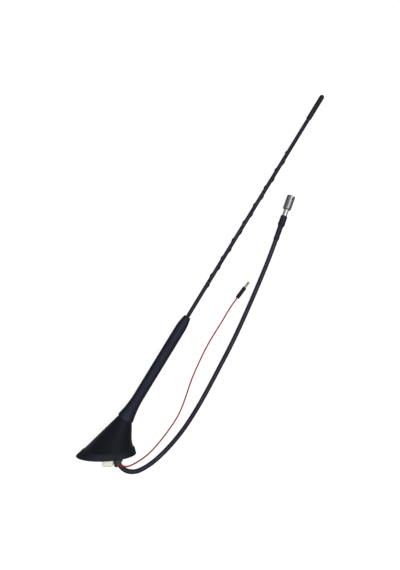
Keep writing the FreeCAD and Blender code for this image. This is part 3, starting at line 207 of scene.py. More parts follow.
@dataclass(frozen=True)
class Finish:
    """A surface: two tones that drift into each other, a gloss, the fine mark of its making, and a painted
    shade on flanks turned from the eye.
    """

    name: str
    tone: str
    drift: str
    roughness: float
    gloss_change: float = 0.06
    mark: Mark = Mark.GRAIN
    mark_mm: float = 0.5
    relief_mm: float = 0.015
    drift_mm: float = 14.0
    metallic: float = 0.0
    ior: float = 1.5
    sheen_level: float = 0.5
    scatter: float = 0.0
    scatter_mm: float = 1.0
    rounding_mm: float = 0.0
    worn: str = ""
    # flank: tone of a painted shade where the surface turns from the eye, with the reach of that shade below
    # it
    flank: str = ""
    painted_shade_reach: float = 0.62
    wave_mm: float = 0.0
    speck: float = 0.12
    axis: Point = (0.0, 0.0, 1.0)

    def placing(self, tree: bpy.types.NodeTree) -> bpy.types.NodeSocket:
        """Lay the pattern's third axis along the piece and stretch it as the mark asks.

        Args:
            tree: the material's node tree.

        Returns:
            The socket with the laid coordinates.
        """
        place = add_node(tree, "TexCoord").outputs["Object"]
        turn = Vector(self.axis).rotation_difference(UP).to_euler()
        turned = add_node(tree, "Mapping", {"Rotation": tuple(turn)}, {"Vector": place})
        across, along = self.mark.value
        laid = add_node(tree, "Mapping", {"Scale": (across, across, along)}, {"Vector": turned.outputs[0]})
        return laid.outputs[0]

    def rounded(self, tree: bpy.types.NodeTree) -> bpy.types.NodeSocket:
        """Normal that is rounded over the edges.

        Args:
            tree: the material's node tree.

        Returns:
            The socket with the normal.
        """
        return add_node(tree, "Bevel", {"samples": BEVEL_SAMPLES, "Radius": self.rounding_mm * MM}).outputs[0]

    def specked(self, tree: bpy.types.NodeTree, tones: bpy.types.NodeSocket,
                fine: bpy.types.NodeSocket) -> bpy.types.NodeSocket:
        """Let the fine mark lighten and darken the colour a little.

        Args:
            tree: the material's node tree.
            tones: the even colour.
            fine: the fine mark's value.

        Returns:
            The socket with the colour.
        """
        low, high = SPECK_SPAN
        level = add_node(tree, "MapRange", {"From Min": low, "From Max": high, "To Min": 1 - self.speck,
                                            "To Max": 1 + self.speck}, {"Value": fine})
        scaled = add_node(tree, "VectorMath", {"operation": "SCALE"}, {0: tones, "Scale": level.outputs[0]})
        return scaled.outputs[0]

    def rubbed(self, tree: bpy.types.NodeTree, tones: bpy.types.NodeSocket, normal: bpy.types.NodeSocket,
               fine: bpy.types.NodeSocket) -> bpy.types.NodeSocket:
        """Lighter tone along the edges, broken up by the fine mark.

        Args:
            tree: the material's node tree.
            tones: the unworn colour.
            normal: the rounded normal.
            fine: the fine mark's value.

        Returns:
            The socket with the colour.
        """
        flat = add_node(tree, "NewGeometry").outputs["Normal"]
        turn = add_node(tree, "VectorMath", {"operation": "DOT_PRODUCT"}, {0: normal, 1: flat})
        unworn, worn = EDGE_SPAN
        edge = add_node(tree, "MapRange", {"From Min": unworn, "From Max": worn, "To Max": MOST_WEAR},
                        {"Value": turn.outputs["Value"]})
        patchy = add_node(tree, "Math", {"operation": "MULTIPLY"}, {0: edge.outputs[0], 1: fine})
        mix = add_node(tree, "Mix", {"data_type": "RGBA"}, {"Factor": patchy.outputs[0]})
        tree.links.new(tones, mix.inputs[6])
        mix.inputs[7].default_value = linear_colour(self.worn)
        return mix.outputs[2]

    def painted_flank_shade(self, tree: bpy.types.NodeTree, tones: bpy.types.NodeSocket) -> bpy.types.NodeSocket:
        """Paint shade: fall to the flank's darker tone where the surface turns away from the eye.

        Args:
            tree: the material's node tree.
            tones: the colour of the surface that faces the eye.

        Returns:
            The socket with the colour.
        """
        away = add_node(tree, "LayerWeight", {"Blend": self.painted_shade_reach})
        mix = add_node(tree, "Mix", {"data_type": "RGBA"}, {"Factor": away.outputs["Facing"]})
        tree.links.new(tones, mix.inputs[6])
        mix.inputs[7].default_value = linear_colour(self.flank)
        return mix.outputs[2]

    def build(self) -> bpy.types.Material:
        """Make the material from nodes.

        Returns:
            The material.
        """
        known = bpy.data.materials.get(self.name)
        if known:
            return known
        material = bpy.data.materials.new(self.name)
        material.use_nodes = True
        tree = material.node_tree
        tree.nodes.clear()
        laid = self.placing(tree)
        fine = add_node(tree, "TexNoise", {"Scale": 1 / (self.mark_mm * MM), "Detail": 3.0, "Roughness": 0.6},
                        {"Vector": laid})
        place = add_node(tree, "TexCoord").outputs["Object"]
        drift = add_node(tree, "TexNoise", {"Scale": 1 / (self.drift_mm * MM), "Detail": 4.0},
                         {"Vector": place})
        low, high = DRIFT_SPAN
        blend = add_node(tree, "MapRange", {"From Min": low, "From Max": high},
                         {"Value": drift.outputs["Fac"]})
        tones = add_node(tree, "ValToRGB", {}, {"Fac": blend.outputs[0]})
        tones.color_ramp.elements[0].color = linear_colour(self.tone)
        tones.color_ramp.elements[1].color = linear_colour(self.drift)
        gloss = add_node(tree, "MapRange", {"To Min": self.roughness - self.gloss_change,
                                            "To Max": self.roughness + self.gloss_change},
                         {"Value": fine.outputs["Fac"]})
        bump = add_node(tree, "Bump", {"Strength": 1.0, "Distance": self.relief_mm * MM},
                        {"Height": fine.outputs["Fac"]})
        colour = self.specked(tree, tones.outputs[0], fine.outputs["Fac"])
        base = bump
        if self.wave_mm:
            base = add_node(tree, "Bump", {"Strength": 1.0, "Distance": self.wave_mm * MM},
                            {"Height": drift.outputs["Fac"]})
            tree.links.new(base.outputs[0], bump.inputs["Normal"])
        if self.rounding_mm:
            normal = self.rounded(tree)
            tree.links.new(normal, base.inputs["Normal"])
            if self.worn:
                colour = self.rubbed(tree, colour, normal, fine.outputs["Fac"])
        # Painted shade: the colour falls to the flank tone where the surface turns from the eye
        if self.flank:
            colour = self.painted_flank_shade(tree, colour)
        shader = add_node(tree, "BsdfPrincipled", {"Metallic": self.metallic, "IOR": self.ior,
                                                   "Specular IOR Level": self.sheen_level,
                                                   "Subsurface Weight": self.scatter,
                                                   "Subsurface Scale": self.scatter_mm * MM},
                          {"Base Color": colour, "Roughness": gloss.outputs[0], "Normal": bump.outputs[0]})
        add_node(tree, "OutputMaterial", {}, {"Surface": shader.outputs[0]})
        return material


def dress(node: str, finish: Finish) -> None:
    """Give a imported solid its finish.

    Args:
        node: the solid's name.
        finish: its surface.
    """
    material = finish.build()
    for held in bpy.data.objects[node].material_slots:
        held.material = material
    LOG.info("%s: %s", node, finish.name)


def laid_frame(start: Vector, direction: Vector) -> Matrix:
    """Place of a piece that was made round the Z axis.

    Args:
        start: where the piece's own origin goes.
        direction: where its Z axis points.

    Returns:
        The placing matrix.
    """
    turn = UP.rotation_difference(direction.normalized())
    return Matrix.Translation(start) @ turn.to_matrix().to_4x4()


def deselect() -> None:
    """Leave edit mode with nothing selected."""
    if bpy.context.object and bpy.context.object.mode != "OBJECT":
        bpy.ops.object.mode_set(mode="OBJECT")
    bpy.ops.object.select_all(action="DESELECT")


def choose(piece: bpy.types.Object) -> None:
    """Select one object alone and make it the active one.

    Args:
        piece: the object.
    """
    deselect()
    piece.select_set(True)
    bpy.context.view_layer.objects.active = piece


def settle(piece: bpy.types.Object, place: Matrix) -> None:
    """Move a finished mesh to its place and leave its object at the origin, unturned.

    Args:
        piece: the mesh object, made round its own origin.
        place: where it goes.
    """
    choose(piece)
    piece.matrix_world = place
    bpy.ops.object.transform_apply(location=True, rotation=True, scale=True)
    deselect()


def apply_modifier(piece: bpy.types.Object, kind: str, **settings: object) -> None:
    """Add a modifier with its settings and apply it.

    Args:
        piece: the mesh object.
        kind: the modifier's type.
        settings: its settings by name.
    """
    choose(piece)
    added = piece.modifiers.new(kind.lower(), kind)
    for key, value in settings.items():
        setattr(added, key, value)
    bpy.ops.object.modifier_apply(modifier=added.name)


def drawn_line(name: str, points: list[tuple[float, float]]) -> bpy.types.Object:
    """Draw a line of (radius, height) points in millimetres in the XZ plane, vertex by vertex.

    Args:
        name: the new object's name.
        points: the line from its first to its last point.

    Returns:
        The new object, in edit mode with its last vertex selected.
    """
    deselect()
    bpy.ops.mesh.primitive_plane_add(size=MM)
    line = bpy.context.object
    line.name = name
    bpy.ops.object.mode_set(mode="EDIT")
    bpy.ops.mesh.select_all(action="SELECT")
    bpy.ops.mesh.merge(type="CENTER")
    bpy.ops.transform.translate(value=(points[0][0] * MM, 0, points[0][1] * MM))
    for start, end in zip(points, points[1:]):
        step = ((end[0] - start[0]) * MM, 0, (end[1] - start[1]) * MM)
        bpy.ops.mesh.extrude_vertices_move(TRANSFORM_OT_translate={"value": step})
    return line


def close_up(piece: bpy.types.Object, angle: float = 35.0) -> None:
    """Merge doubles, turn all faces outwards and smooth all but the sharp edges.

    Args:
        piece: the mesh object.
        angle: edges sharper than this, in degrees, stay crisp.
    """
    choose(piece)
    bpy.ops.object.mode_set(mode="EDIT")
    bpy.ops.mesh.select_all(action="SELECT")
    bpy.ops.mesh.remove_doubles(threshold=DOUBLES_MM * MM)
    bpy.ops.mesh.normals_make_consistent(inside=False)
    bpy.ops.object.mode_set(mode="OBJECT")
    bpy.ops.object.shade_smooth_by_angle(angle=math.radians(angle))


def close_end(piece: bpy.types.Object, numbers: range) -> None:
    """Fill the open end of a swept skin.

    Args:
        piece: the mesh object.
        numbers: the numbers of the end's vertices.
    """
    choose(piece)
    bpy.ops.object.mode_set(mode="EDIT")
    bpy.ops.mesh.select_mode(type="VERT")
    bpy.ops.mesh.select_all(action="DESELECT")
    bpy.ops.object.mode_set(mode="OBJECT")
    for number in numbers:
        piece.data.vertices[number].select = True
    bpy.ops.object.mode_set(mode="EDIT")
    bpy.ops.mesh.edge_face_add()
    bpy.ops.object.mode_set(mode="OBJECT")


def spun_piece(name: str, profile: list[tuple[float, float]], steps: int = 64) -> bpy.types.Object:
    """Spin a line of (radius, height) points in millimetres about Z into a closed skin.

    Args:
        name: the new object's name.
        profile: the line, which starts and ends on the axis.
        steps: the number of facets round the piece.

    Returns:
        The new object at the origin.
    """
    piece = drawn_line(name, profile)
    bpy.ops.mesh.select_all(action="SELECT")
    bpy.ops.mesh.spin(steps=steps, angle=2 * math.pi, center=(0, 0, 0), axis=(0, 0, 1))
    close_up(piece)
    return piece


@dataclass(frozen=True)
class Lamp:
    """A square soft lamp that faces the middle of the table."""

    name: str
    shift: Point
    width: float
    power: float


@dataclass
class Studio:
    """Camera over the table, white table top and soft lamps."""

    middle: Vector
    camera_height: float = 0.480
    camera_shift: tuple[float, float] = (0.09922, 0.17219)
    camera_turn: float = -0.95
    sensor_width: float = 36.0
    focal_length: float = 36.0 * 444.4 / 570.0
    table_size: float = 1.6
    table_tone: str = "#8c8c8c"
    table_lift: float = 0.86
    sky_heights: tuple[float, float] = (0.1, 1.0)
    sky_levels: tuple[float, float] = (0.04, 0.42)
    lamps: tuple[Lamp, ...] = (Lamp("top_lamp", (0.42, 0.10, 1.15), 0.8, 11.0),
                               Lamp("side_lamp", (-0.8, -0.2, 0.9), 0.5, 1.5))

    def centre(self) -> Vector:
        """Point of the table under the camera."""
        return self.middle + Vector((*self.camera_shift, 0))

    def place_camera(self) -> None:
        """Hang the camera straight above the table, as in the photograph."""
        data = bpy.data.cameras.new("camera")
        data.lens = self.focal_length
        data.sensor_width = self.sensor_width
        camera = bpy.data.objects.new("camera", data)
        camera.location = self.middle + Vector((*self.camera_shift, self.camera_height))
        camera.rotation_euler = (0, 0, math.radians(self.camera_turn))
        bpy.context.scene.collection.objects.link(camera)
        bpy.context.scene.camera = camera

    def lay_table(self) -> None:
        """White table top that keeps the object's soft shadow."""
        deselect()
        bpy.ops.mesh.primitive_plane_add(size=self.table_size, location=self.centre())
        table = bpy.context.object
        table.name = "table_top"
        material = bpy.data.materials.new("white_table_top")
        material.use_nodes = True
        tree = material.node_tree
        tree.nodes.clear()
        matt = add_node(tree, "BsdfDiffuse", {"Color": linear_colour(self.table_tone)})
        lift = add_node(tree, "Emission", {"Color": WHITE, "Strength": self.table_lift})
        lifted = add_node(tree, "AddShader", {}, {0: matt.outputs[0], 1: lift.outputs[0]})
        picked = add_node(tree, "MixShader", {}, {0: background_rays(tree), 1: matt.outputs[0],
                                                  2: lifted.outputs[0]})
        add_node(tree, "OutputMaterial", {}, {"Surface": picked.outputs[0]})
        table.data.materials.append(material)

    def hang_lamps(self) -> None:
        """One large soft lamp overhead to the right and a weaker one from the left."""
        for lamp in self.lamps:
            data = bpy.data.lights.new(lamp.name, "AREA")
            data.shape = "SQUARE"
            data.size = lamp.width
            data.energy = lamp.power
            hung = bpy.data.objects.new(lamp.name, data)
            hung.location = self.centre() + Vector(lamp.shift)
            hung.rotation_euler = (-Vector(lamp.shift)).to_track_quat("-Z", "Y").to_euler()
            bpy.context.scene.collection.objects.link(hung)

    def surround(self) -> None:
        """Soft light that is brighter overhead, in front of a white backdrop."""
        world = bpy.data.worlds.new("surround")
        bpy.context.scene.world = world
        world.use_nodes = True
        tree = world.node_tree
        tree.nodes.clear()
        way = add_node(tree, "SeparateXYZ", {}, {0: add_node(tree, "TexCoord").outputs["Generated"]})
        near, far = self.sky_heights
        dim, bright = self.sky_levels
        height = add_node(tree, "MapRange", {"From Min": near, "From Max": far, "To Min": dim,
                                             "To Max": bright}, {"Value": way.outputs["Z"]})
        level = add_node(tree, "Math", {"operation": "MAXIMUM"},
                         {0: height.outputs[0], 1: background_rays(tree)})
        sky = add_node(tree, "Background", {"Color": WHITE}, {"Strength": level.outputs[0]})
        add_node(tree, "OutputWorld", {}, {"Surface": sky.outputs[0]})
        bpy.context.scene.view_settings.view_transform = "Standard"

    def build(self) -> None:
        """Make the camera, the table and the light."""
        self.place_camera()
        self.lay_table()
        self.hang_lamps()
        self.surround()
        LOG.info("studio: camera %.0f mm above the table", self.camera_height / MM)


@dataclass
class Lead:
    """A free lead on the table: one smooth line from its exit to its fitting."""

    name: str
    middle: Vector
    route: tuple[Point, ...]
    diameter: float
    length: float
    lay: Lay
    replaced: str
    slot: str
    pieces: tuple[str, ...]
    finish: Finish

    def end_frame(self) -> Matrix:
        """Place of the fitting: the lead's end, with Z along its last run."""
        last = Vector(self.route[-1])
        return laid_frame(self.middle + last, last - Vector(self.route[-2]))

    def build(self) -> None:
        data = bpy.data.curves.new(self.name, "CURVE")
        data.dimensions = "3D"
        data.bevel_depth = self.diameter / 2
        data.bevel_resolution = 6
        data.use_fill_caps = True
        line = data.splines.new("NURBS")
        line.points.add(len(self.route) - 1)
        for point, place in zip(line.points, self.route):
            point.co = (*(self.middle + Vector(place)), 1)
        line.order_u = 3
        line.use_endpoint_u = True
        line.resolution_u = 12
        lead = bpy.data.objects.new(self.name, data)
        bpy.context.scene.collection.objects.link(lead)
        data.materials.append(self.finish.build())
        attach(lead, "base")
        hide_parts(self.replaced)
        LOG.info("%s: %.0f mm long", self.name, self.length / MM)


@dataclass
class ShrunkSleeve:
    """A sleeve shrunk over a fitting: soft shoulders, slight waists and fine creases."""

    name: str
    place: Matrix
    profile: Outline
    replaced: str
    slot: str
    finish: Finish
    crease_mm: float = 0.16
    crease_length_mm: float = 2.4
    ring_step_mm: float = 0.5

    def spaced(self) -> list[tuple[float, float]]:
        """The profile with points at even steps on its long runs, so that the creases can form.

        Returns:
            Points of radius and height in millimetres.
        """
        points = [self.profile[0]]
        for start, end in zip(self.profile, self.profile[1:]):
            count = max(1, round(math.dist(start, end) / self.ring_step_mm))
            for step in range(1, count + 1):
                share = step / count
                points.append((start[0] + share * (end[0] - start[0]),
                               start[1] + share * (end[1] - start[1])))
        return points

    def build(self) -> None:
        """Spin the sleeve, crease it and lay it over its fitting."""
        sleeve = spun_piece(self.name, self.spaced(), steps=48)
        apply_modifier(sleeve, "SUBSURF", levels=1, render_levels=1)
        creases = bpy.data.textures.new(self.name + "_creases", "CLOUDS")
        creases.noise_scale = self.crease_length_mm * MM
        apply_modifier(sleeve, "DISPLACE", texture=creases, texture_coords="LOCAL",
                       strength=self.crease_mm * MM, mid_level=0.7)
        close_up(sleeve, 60.0)
        settle(sleeve, self.place)
        sleeve.data.materials.append(self.finish.build())
        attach(sleeve, "base")
        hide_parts(self.replaced)
        LOG.info("%s: %d faces", self.name, len(sleeve.data.polygons))


@dataclass
class PanScrew:
    """A pan-head screw with a cross recess, made with its head down at the origin."""

    head_dia: float
    head_height: float
    shank_dia: float
    shank_length: float
    finish: Finish

    def build(self, name: str) -> bpy.types.Object:
        """Spin head and shank and cut the cross recess.

        Args:
            name: the screw's name.

        Returns:
            The screw at the origin.
        """
        rim, tall, shank = self.head_dia / 2, self.head_height, self.shank_dia / 2
        end = tall + self.shank_length
        head = [(rim * wide, tall * high) for wide, high in HEAD_OUTLINE]
        screw = spun_piece(name, [
            (0, 0), *head, (rim, tall - HEAD_EDGE_MM), (rim - HEAD_EDGE_MM, tall), (shank, tall),
            (shank, end - shank * POINT_SHARE), (shank * POINT_SHARE, end), (0, end)], steps=40)
        slot_length, slot_width, slot_depth = RECESS_SHARES
        for turn in (0, 90):
            bpy.ops.mesh.primitive_cube_add(size=1, rotation=(0, 0, math.radians(turn)))
            blade = bpy.context.object
            blade.scale = (self.head_dia * slot_length * MM, self.head_dia * slot_width * MM,
                           tall * slot_depth * MM)
            apply_modifier(screw, "BOOLEAN", operation="DIFFERENCE", object=blade, solver="EXACT")
            choose(blade)
            bpy.ops.object.delete()
        close_up(screw, 40.0)
        screw.data.materials.append(self.finish.build())
        return screw


@dataclass
class SealedBase:
    """Gasket, cover, cast plate, nylon block, grommet and the amplifier inside."""

    frame: Matrix
    mast_axis: Point
    screw_places: tuple[float, ...] = (-14.4, 21.4)
    head_level: float = 0.7
    board_places: tuple[tuple[float, float], ...] = ((-6.6, 7.2), (13.6, -7.2))
    board_top: float = 6.4

    def make_screws(self) -> None:
        """Two cover screws from below and two board screws from above."""
        # Zinc-plated steel, cold-headed: a pale grey gloss with a faint cloud
        plated = Finish("zinc_plated_steel_headed", "#a9aaa4", "#b9b7ac", 0.28, mark_mm=0.5, relief_mm=0.006,
                        metallic=1.0)
        cover_screw = PanScrew(4.6, 1.5, 2.5, 7.4, plated)
        for number, x in enumerate(self.screw_places, start=1):
            screw = cover_screw.build(f"cover_screw_{number}")
            settle(screw, self.frame @ Matrix.Translation(Vector((x, 0, self.head_level)) * MM))
            self.own(screw, "cover_screws")
        board_screw = PanScrew(3.8, 1.2, 2.0, 3.6, plated)
        over = Matrix.Rotation(math.pi, 4, "X")
        for number, (x, y) in enumerate(self.board_places, start=1):
            screw = board_screw.build(f"board_screw_{number}")
            top = self.board_top + board_screw.head_height
            settle(screw, self.frame @ Matrix.Translation(Vector((x, y, top)) * MM) @ over)
            self.own(screw, "board_screws")

    def own(self, piece: bpy.types.Object, node: str) -> None:
        """Let a piece ride on the base in the place of a solid.

        Args:
            piece: the new piece.
            node: the solid's name.
        """
        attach(piece, "base")
        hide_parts(node)
        LOG.info("%s: %d faces", piece.name, len(piece.data.polygons))

    def dress(self) -> None:
        """Give every solid of the base its finish."""
        # ABS from an etched mould: nearly black with a cool cast; a fine dull grain breaks its sheen.
        # The real grain is about 0.2 mm and is drawn at 0.5 mm, so that it shows at all
        # Its flank tone is a painted shade where the cover turns from the eye
        dress("cover", Finish("abs_etched_mould", "#16181f", "#1a1d26", 0.50, mark_mm=0.5, relief_mm=0.022,
                              drift_mm=18.0, sheen_level=0.04, rounding_mm=0.2, worn="#343741",
                              flank="#0a0c12", wave_mm=0.05, speck=0.4))
        # EPDM rubber, compression moulded: matt, a shade greyer than the cover, slightly dusty
        # Its flank tone is a painted shade where the gasket turns from the eye
        dress("gasket", Finish("epdm_moulded", "#20252b", "#292e35", 0.68, mark_mm=0.8, relief_mm=0.02,
                               drift_mm=9.0, sheen_level=0.04, rounding_mm=0.35, worn="#3e434a",
                               flank="#0c0e13", wave_mm=0.06, speck=0.3))
        # Zinc, die cast and left bare: cool grey with flow clouds and a dull skin
        dress("base_plate", Finish("zinc_die_cast", "#8d9092", "#a3a5a4", 0.46, mark_mm=0.9, relief_mm=0.03,
                                   drift_mm=7.0, metallic=1.0, rounding_mm=0.2))
        # Natural nylon, injection moulded: milky and slightly green where light sinks in
        # Its darker flank tone is a painted shade where the block turns from the eye
        dress("locating_block", Finish("nylon_natural_moulded", "#ecedde", "#f1f0e6", 0.42, mark_mm=1.2,
                                       relief_mm=0.01, drift_mm=6.0, ior=1.53, rounding_mm=0.35,
                                       flank="#d3d6c6", wave_mm=0.02))
        # Soft rubber, transfer moulded: olive grey bloom over black
        # Its flank tone is a painted shade where the grommet turns from the eye
        dress("cable_grommet", Finish("rubber_bloomed", "#34372f", "#43463f", 0.64, mark_mm=0.6,
                                      relief_mm=0.02, drift_mm=4.0, sheen_level=0.12, rounding_mm=0.3,
                                      worn="#56584f", flank="#1c1e1b", wave_mm=0.05))
        # Glass-fibre laminate with green solder mask: glassy film over a faint weave of 0.6 mm
        dress("amplifier_board", Finish("fr4_solder_mask", "#0d4a22", "#12602c", 0.24, mark_mm=0.6,
                                        relief_mm=0.01, drift_mm=2.5))
        # Tinplate, stamped: bright grey with rolling lines
        dress("shield_can", Finish("tinplate_rolled", "#b4b4ae", "#c3c2bb", 0.26, mark=Mark.STREAKS,
                                   mark_mm=0.25, relief_mm=0.004, metallic=1.0, axis=(1.0, 0.0, 0.0),
                                   rounding_mm=0.2))
        # Phosphor bronze strip, rolled: warm reddish gold with lines along the strip
        dress("feed_strip", Finish("phosphor_bronze_rolled", "#b98a52", "#c79a63", 0.30, mark=Mark.STREAKS,
                                   mark_mm=0.2, relief_mm=0.004, metallic=1.0, axis=(0.0, 1.0, 0.0)))
        # Aluminium can, deep drawn: satin with faint lines along the can
        dress("supply_capacitor", Finish("aluminium_drawn", "#b3b5b8", "#c2c4c6", 0.30, mark=Mark.STREAKS,
                                         mark_mm=0.2, relief_mm=0.004, metallic=1.0, axis=(0.0, 1.0, 0.0)))
        # Ferrite, sintered: charcoal, finely pitted
        dress("supply_choke", Finish("ferrite_sintered", "#2a2a2c", "#38383a", 0.58, mark_mm=0.3,
                                     relief_mm=0.03, drift_mm=3.0))
        # Brass, turned on a lathe: yellow, with rings at the feed of the tool
        dress("mast_socket", Finish("brass_turned_insert", "#c2a25a", "#cdb06a", 0.24, mark=Mark.RINGS,
                                    mark_mm=0.25, relief_mm=0.006, metallic=1.0, axis=self.mast_axis))

    def build(self) -> None:
        """Make the screws and dress the solids."""
        self.make_screws()
        self.dress()


@dataclass
class Mast:
    """Screw-on rod: threaded stud, boot, ridged rod and tip cap."""

    foot: Vector
    axis: Vector
    pitch: float = 0.8
    crest: float = 2.45
    root: float = 1.98
    reach: float = 8.0
    seat: float = 13.0
    bare: float = 0.6
    lead_in: float = 0.5
    point_chamfer: float = 0.25
    point_gap: float = 0.1
    root_cover: float = 0.01
    shoulder: float = 0.4
    crest_span: tuple[float, float] = (0.44, 0.56)

    def make_stud(self) -> None:
        """Stud with an M5 x 0.8 thread below the foot, in the place of its plain solid."""
        # Stainless steel, rolled thread: bright flanks with fine lines round the stud
        steel = Finish("stainless_thread_rolled", "#9d9d9b", "#adadaa", 0.22, mark=Mark.RINGS, mark_mm=0.2,
                       relief_mm=0.004, metallic=1.0, axis=tuple(self.axis))
        turns = int((self.reach - self.bare) / self.pitch)
        low = -self.reach + self.lead_in
        high = low + turns * self.pitch
        core = self.root + self.root_cover
        shank = spun_piece("mast_stud_core", [
            (0, -self.reach), (self.root - self.point_chamfer, -self.reach), (core, low - self.point_gap),
            (core, high + self.pitch), (self.crest, high + self.pitch + self.shoulder),
            (self.crest, self.seat), (0, self.seat)], steps=48)
        rise, fall = self.crest_span
        flank = [(self.root, low), (self.crest, low + self.pitch * rise),
                 (self.crest, low + self.pitch * fall), (self.root, low + self.pitch)]
        thread = drawn_line("mast_stud_thread", flank)
        corners = len(flank)
        apply_modifier(thread, "SCREW", axis="Z", angle=2 * math.pi, screw_offset=self.pitch * MM,
                       iterations=turns, steps=48, render_steps=48)
        last = len(thread.data.vertices)
        close_end(thread, range(corners))
        close_end(thread, range(last - corners, last))
        choose(thread)
        shank.select_set(True)
        bpy.ops.object.join()
        thread.name = "mast_thread_stud"
        close_up(thread)
        settle(thread, laid_frame(self.foot, self.axis))
        thread.data.materials.append(steel.build())
        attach(thread, "mast")
        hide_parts("mast_stud")
        LOG.info("mast_thread_stud: %d turns of thread, %d faces", turns, len(thread.data.polygons))

    def dress(self) -> None:
        """Give every solid of the mast its finish."""
        axis = tuple(self.axis)
        # Thermoplastic rubber, injection moulded: satin black with a blue cast and soft streaks of flow
        # Its flank tone is a painted shade where the boot turns from the eye
        dress("mast_boot", Finish("tpe_moulded_satin", "#282b38", "#2f3240", 0.50, mark_mm=0.7,
                                  relief_mm=0.018, drift_mm=22.0, sheen_level=0.045, rounding_mm=0.3,
                                  worn="#434753", flank="#06070d", painted_shade_reach=0.78, wave_mm=0.05, speck=0.25,
                                  axis=axis))
        # Polyamide sleeve, extruded: smooth satin, fine lines along the rod
        # Its flank tone is a painted shade where the rod turns from the eye
        dress("rod_sleeve", Finish("polyamide_extruded", "#2e2f3a", "#363844", 0.46, mark=Mark.STREAKS,
                                   mark_mm=0.5, relief_mm=0.012, drift_mm=16.0, sheen_level=0.045,
                                   flank="#04050b", painted_shade_reach=0.82, wave_mm=0.03, axis=axis))
        # Polyamide cap, moulded: a little duller than the sleeve that it grips
        # Its flank tone is a painted shade where the cap turns from the eye
        dress("tip_cap", Finish("polyamide_cap_moulded", "#2f3138", "#383a42", 0.54, mark_mm=0.6,
                                relief_mm=0.018, drift_mm=10.0, sheen_level=0.045, rounding_mm=0.25,
                                worn="#4c4f58", flank="#04050a", painted_shade_reach=0.82, wave_mm=0.03))
        # Nitrile ring, moulded: smooth dull black
        dress("mast_seal", Finish("nitrile_moulded", "#15161a", "#1b1d21", 0.60, mark_mm=0.5, relief_mm=0.01,
                                  ior=1.45))
        # Brass ferrule, turned and crimped: warm, with tool rings and a tarnish that drifts
        dress("mast_ferrule", Finish("brass_turned_ferrule", "#b99a55", "#c8ab66", 0.27, mark=Mark.RINGS,
                                     mark_mm=0.3, relief_mm=0.006, metallic=1.0, axis=axis))
        # Glass-fibre rod, pultruded: straw yellow and streaky, slightly translucent
        dress("rod_core", Finish("glass_fibre_pultruded", "#c9c29a", "#ddd6b0", 0.34, mark=Mark.STREAKS,
                                 mark_mm=0.2, relief_mm=0.01, axis=axis, scatter=0.3))
        # Enamelled copper wire, close wound: copper rings at the pitch of the wire, 0.3 mm
        dress("rod_winding", Finish("copper_wire_wound", "#a65a33", "#b96c40", 0.24, mark=Mark.RINGS,
                                    mark_mm=0.3, relief_mm=0.05, metallic=1.0, axis=axis))

    def build(self) -> None:
        """Make the stud and dress the solids."""
        self.make_stud()
        self.dress()


@dataclass
class CoaxialLead:
    """The antenna's coaxial lead with its shrunk sleeve and plated plug."""

    middle: Vector

    def build(self) -> None:
        """Lay the lead, shrink its sleeve and dress the plug."""
        # PVC jacket, extruded: satin black with a cool cast and faint lengthwise drawing
        # Its flank tone is a painted shade where the jacket turns from the eye
        jacket = Finish("pvc_jacket_extruded", "#32353f", "#3b3e4a", 0.44, mark_mm=0.8, relief_mm=0.012,
                        drift_mm=12.0, sheen_level=0.045, flank="#02030b", painted_shade_reach=0.86, wave_mm=0.04)
        lead = Lead("coaxial_lead", self.middle, COAX_ROUTE, 0.0048, 0.3133, Lay.COAXIAL, "coax_cable",
                    "cable_jacket", ("coax_sleeve", "plug_ferrule", "plug_shell", "plug_insulator",
                                     "plug_contact"), jacket)
        place = lead.end_frame()
        # Polyolefin shrink tube: dull skin that pulls into soft creases over the plug's neck
        # Its flank tone is a painted shade where the sleeve turns from the eye
        shrunk = Finish("polyolefin_shrunk", "#292a38", "#323344", 0.58, mark_mm=0.7, relief_mm=0.03,
                        drift_mm=5.0, sheen_level=0.06, flank="#04050c", painted_shade_reach=0.8, wave_mm=0.06)
        ShrunkSleeve("coax_sleeve", place, COAX_SLEEVE_OUTLINE, "coax_boot", "plug_boot", shrunk,
                     crease_mm=0.24).build()
        lead.build()
        along = tuple(place.to_3x3() @ UP)
        # Nickel on turned brass: bright, slightly warm, with tool rings under the plating
        # Its flank tone is a painted shade where the shell turns from the eye
        dress("plug_shell", Finish("nickel_plated_turned", "#67656a", "#78767a", 0.34, gloss_change=0.05,
                                   mark=Mark.RINGS, mark_mm=0.7, relief_mm=0.008, drift_mm=5.0, metallic=1.0,
                                   axis=along, rounding_mm=0.25, worn="#c9c6bf", flank="#201f24",
                                   painted_shade_reach=0.76))
        # Nickel on drawn tube: brighter and smoother than the shell
        # Its flank tone is a painted shade where the ferrule turns from the eye
        dress("plug_ferrule", Finish("nickel_plated_drawn", "#8f8d8c", "#9d9b99", 0.32, mark=Mark.STREAKS,
                                     mark_mm=0.4, relief_mm=0.006, drift_mm=4.0, metallic=1.0, axis=along,
                                     flank="#1f1e22", painted_shade_reach=0.7))
        # Acetal, turned: clean white with faint rings
        dress("plug_insulator", Finish("acetal_turned", "#e4e4df", "#edede8", 0.38, mark=Mark.RINGS,
                                       mark_mm=0.4, relief_mm=0.006, scatter=0.3, axis=along))
        # Gold flash on a brass contact: warm yellow gloss
        dress("plug_contact", Finish("gold_flash_contact", "#c9a44f", "#d6b566", 0.20, mark=Mark.RINGS,
                                     mark_mm=0.2, relief_mm=0.004, metallic=1.0, axis=along))


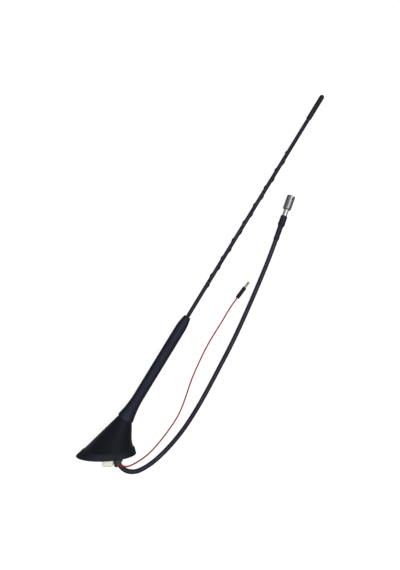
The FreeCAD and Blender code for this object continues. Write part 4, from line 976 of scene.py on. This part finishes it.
@dataclass
class SupplyLead:
    """The thin red supply wire with its sleeved bullet pin."""

    middle: Vector

    def build(self) -> None:
        """Lay the wire, shrink its sleeve and dress the pin."""
        # PVC insulation, extruded: clear red with a soft gloss
        # Its darker red flank tone is a painted shade where the wire turns from the eye
        red = Finish("pvc_insulation_red", "#ac0f22", "#b9182a", 0.46, mark_mm=0.6, relief_mm=0.008,
                     drift_mm=10.0, sheen_level=0.10, flank="#520814", painted_shade_reach=0.7, wave_mm=0.02)
        lead = Lead("supply_lead", self.middle, WIRE_ROUTE, 0.0015, 0.2292, Lay.SUPPLY, "power_wire",
                    "red_insulation", ("bullet_cover", "bullet_pin"), red)
        place = lead.end_frame()
        # Polyolefin shrink tube pulled over a crimp: dull, ribbed where the crimp bites
        # Its flank tone is a painted shade where the sleeve turns from the eye
        shrunk = Finish("polyolefin_shrunk_crimp", "#1f2028", "#282a33", 0.60, mark_mm=0.6, relief_mm=0.03,
                        drift_mm=4.0, sheen_level=0.06, flank="#040409", painted_shade_reach=0.8, wave_mm=0.05)
        ShrunkSleeve("bullet_cover", place, BULLET_SLEEVE_OUTLINE, "bullet_sleeve", "black_vinyl", shrunk,
                     crease_mm=0.14, crease_length_mm=1.6).build()
        lead.build()
        along = tuple(place.to_3x3() @ UP)
        # Tin over brass, turned: olive gold with a bright line, rings at the tool's feed
        # Its flank tone is a painted shade where the pin turns from the eye
        dress("bullet_pin", Finish("tinned_brass_turned", "#796f56", "#8b826b", 0.30, mark=Mark.RINGS,
                                   mark_mm=0.3, relief_mm=0.006, drift_mm=3.0, metallic=1.0, axis=along,
                                   rounding_mm=0.15, worn="#c7bf9f", flank="#3c382b"))


def base_frame(middle: Vector, height: float, upward: Vector) -> Matrix:
    """Place of the base: rearward along X, out of the roof along Z.

    Args:
        middle: the middle of the base on the table.
        height: its roof plane's centre above the table.
        upward: the direction out of the roof.

    Returns:
        The placing matrix.
    """
    rearward = Vector((1, 0, 0))
    across = upward.cross(rearward)
    turn = Matrix((rearward, across, upward)).transposed().to_4x4()
    return Matrix.Translation(middle + Vector((0, 0, height))) @ turn


def main() -> None:
    """Build the scene piece by piece."""
    logging.basicConfig(level=logging.INFO, format="%(message)s")
    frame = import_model()
    turning = next(joint for joint in frame["joints"] if joint["name"] == "mast_turn")
    foot = Vector(turning["pos_m"])
    axis = Vector(turning["axis"])
    middle = Vector((foot.x - FOOT_SHIFT[0], foot.y - FOOT_SHIFT[1], 0))
    roof = next(mount for mount in frame["record"]["mounts"] if mount["name"] == "roof_face")
    Studio(middle).build()
    CoaxialLead(middle).build()
    SupplyLead(middle).build()
    SealedBase(base_frame(middle, ROOF_HEIGHT, -Vector(roof["axis"])), tuple(axis)).build()
    Mast(foot, axis).build()


if __name__ == "__main__":
    main()
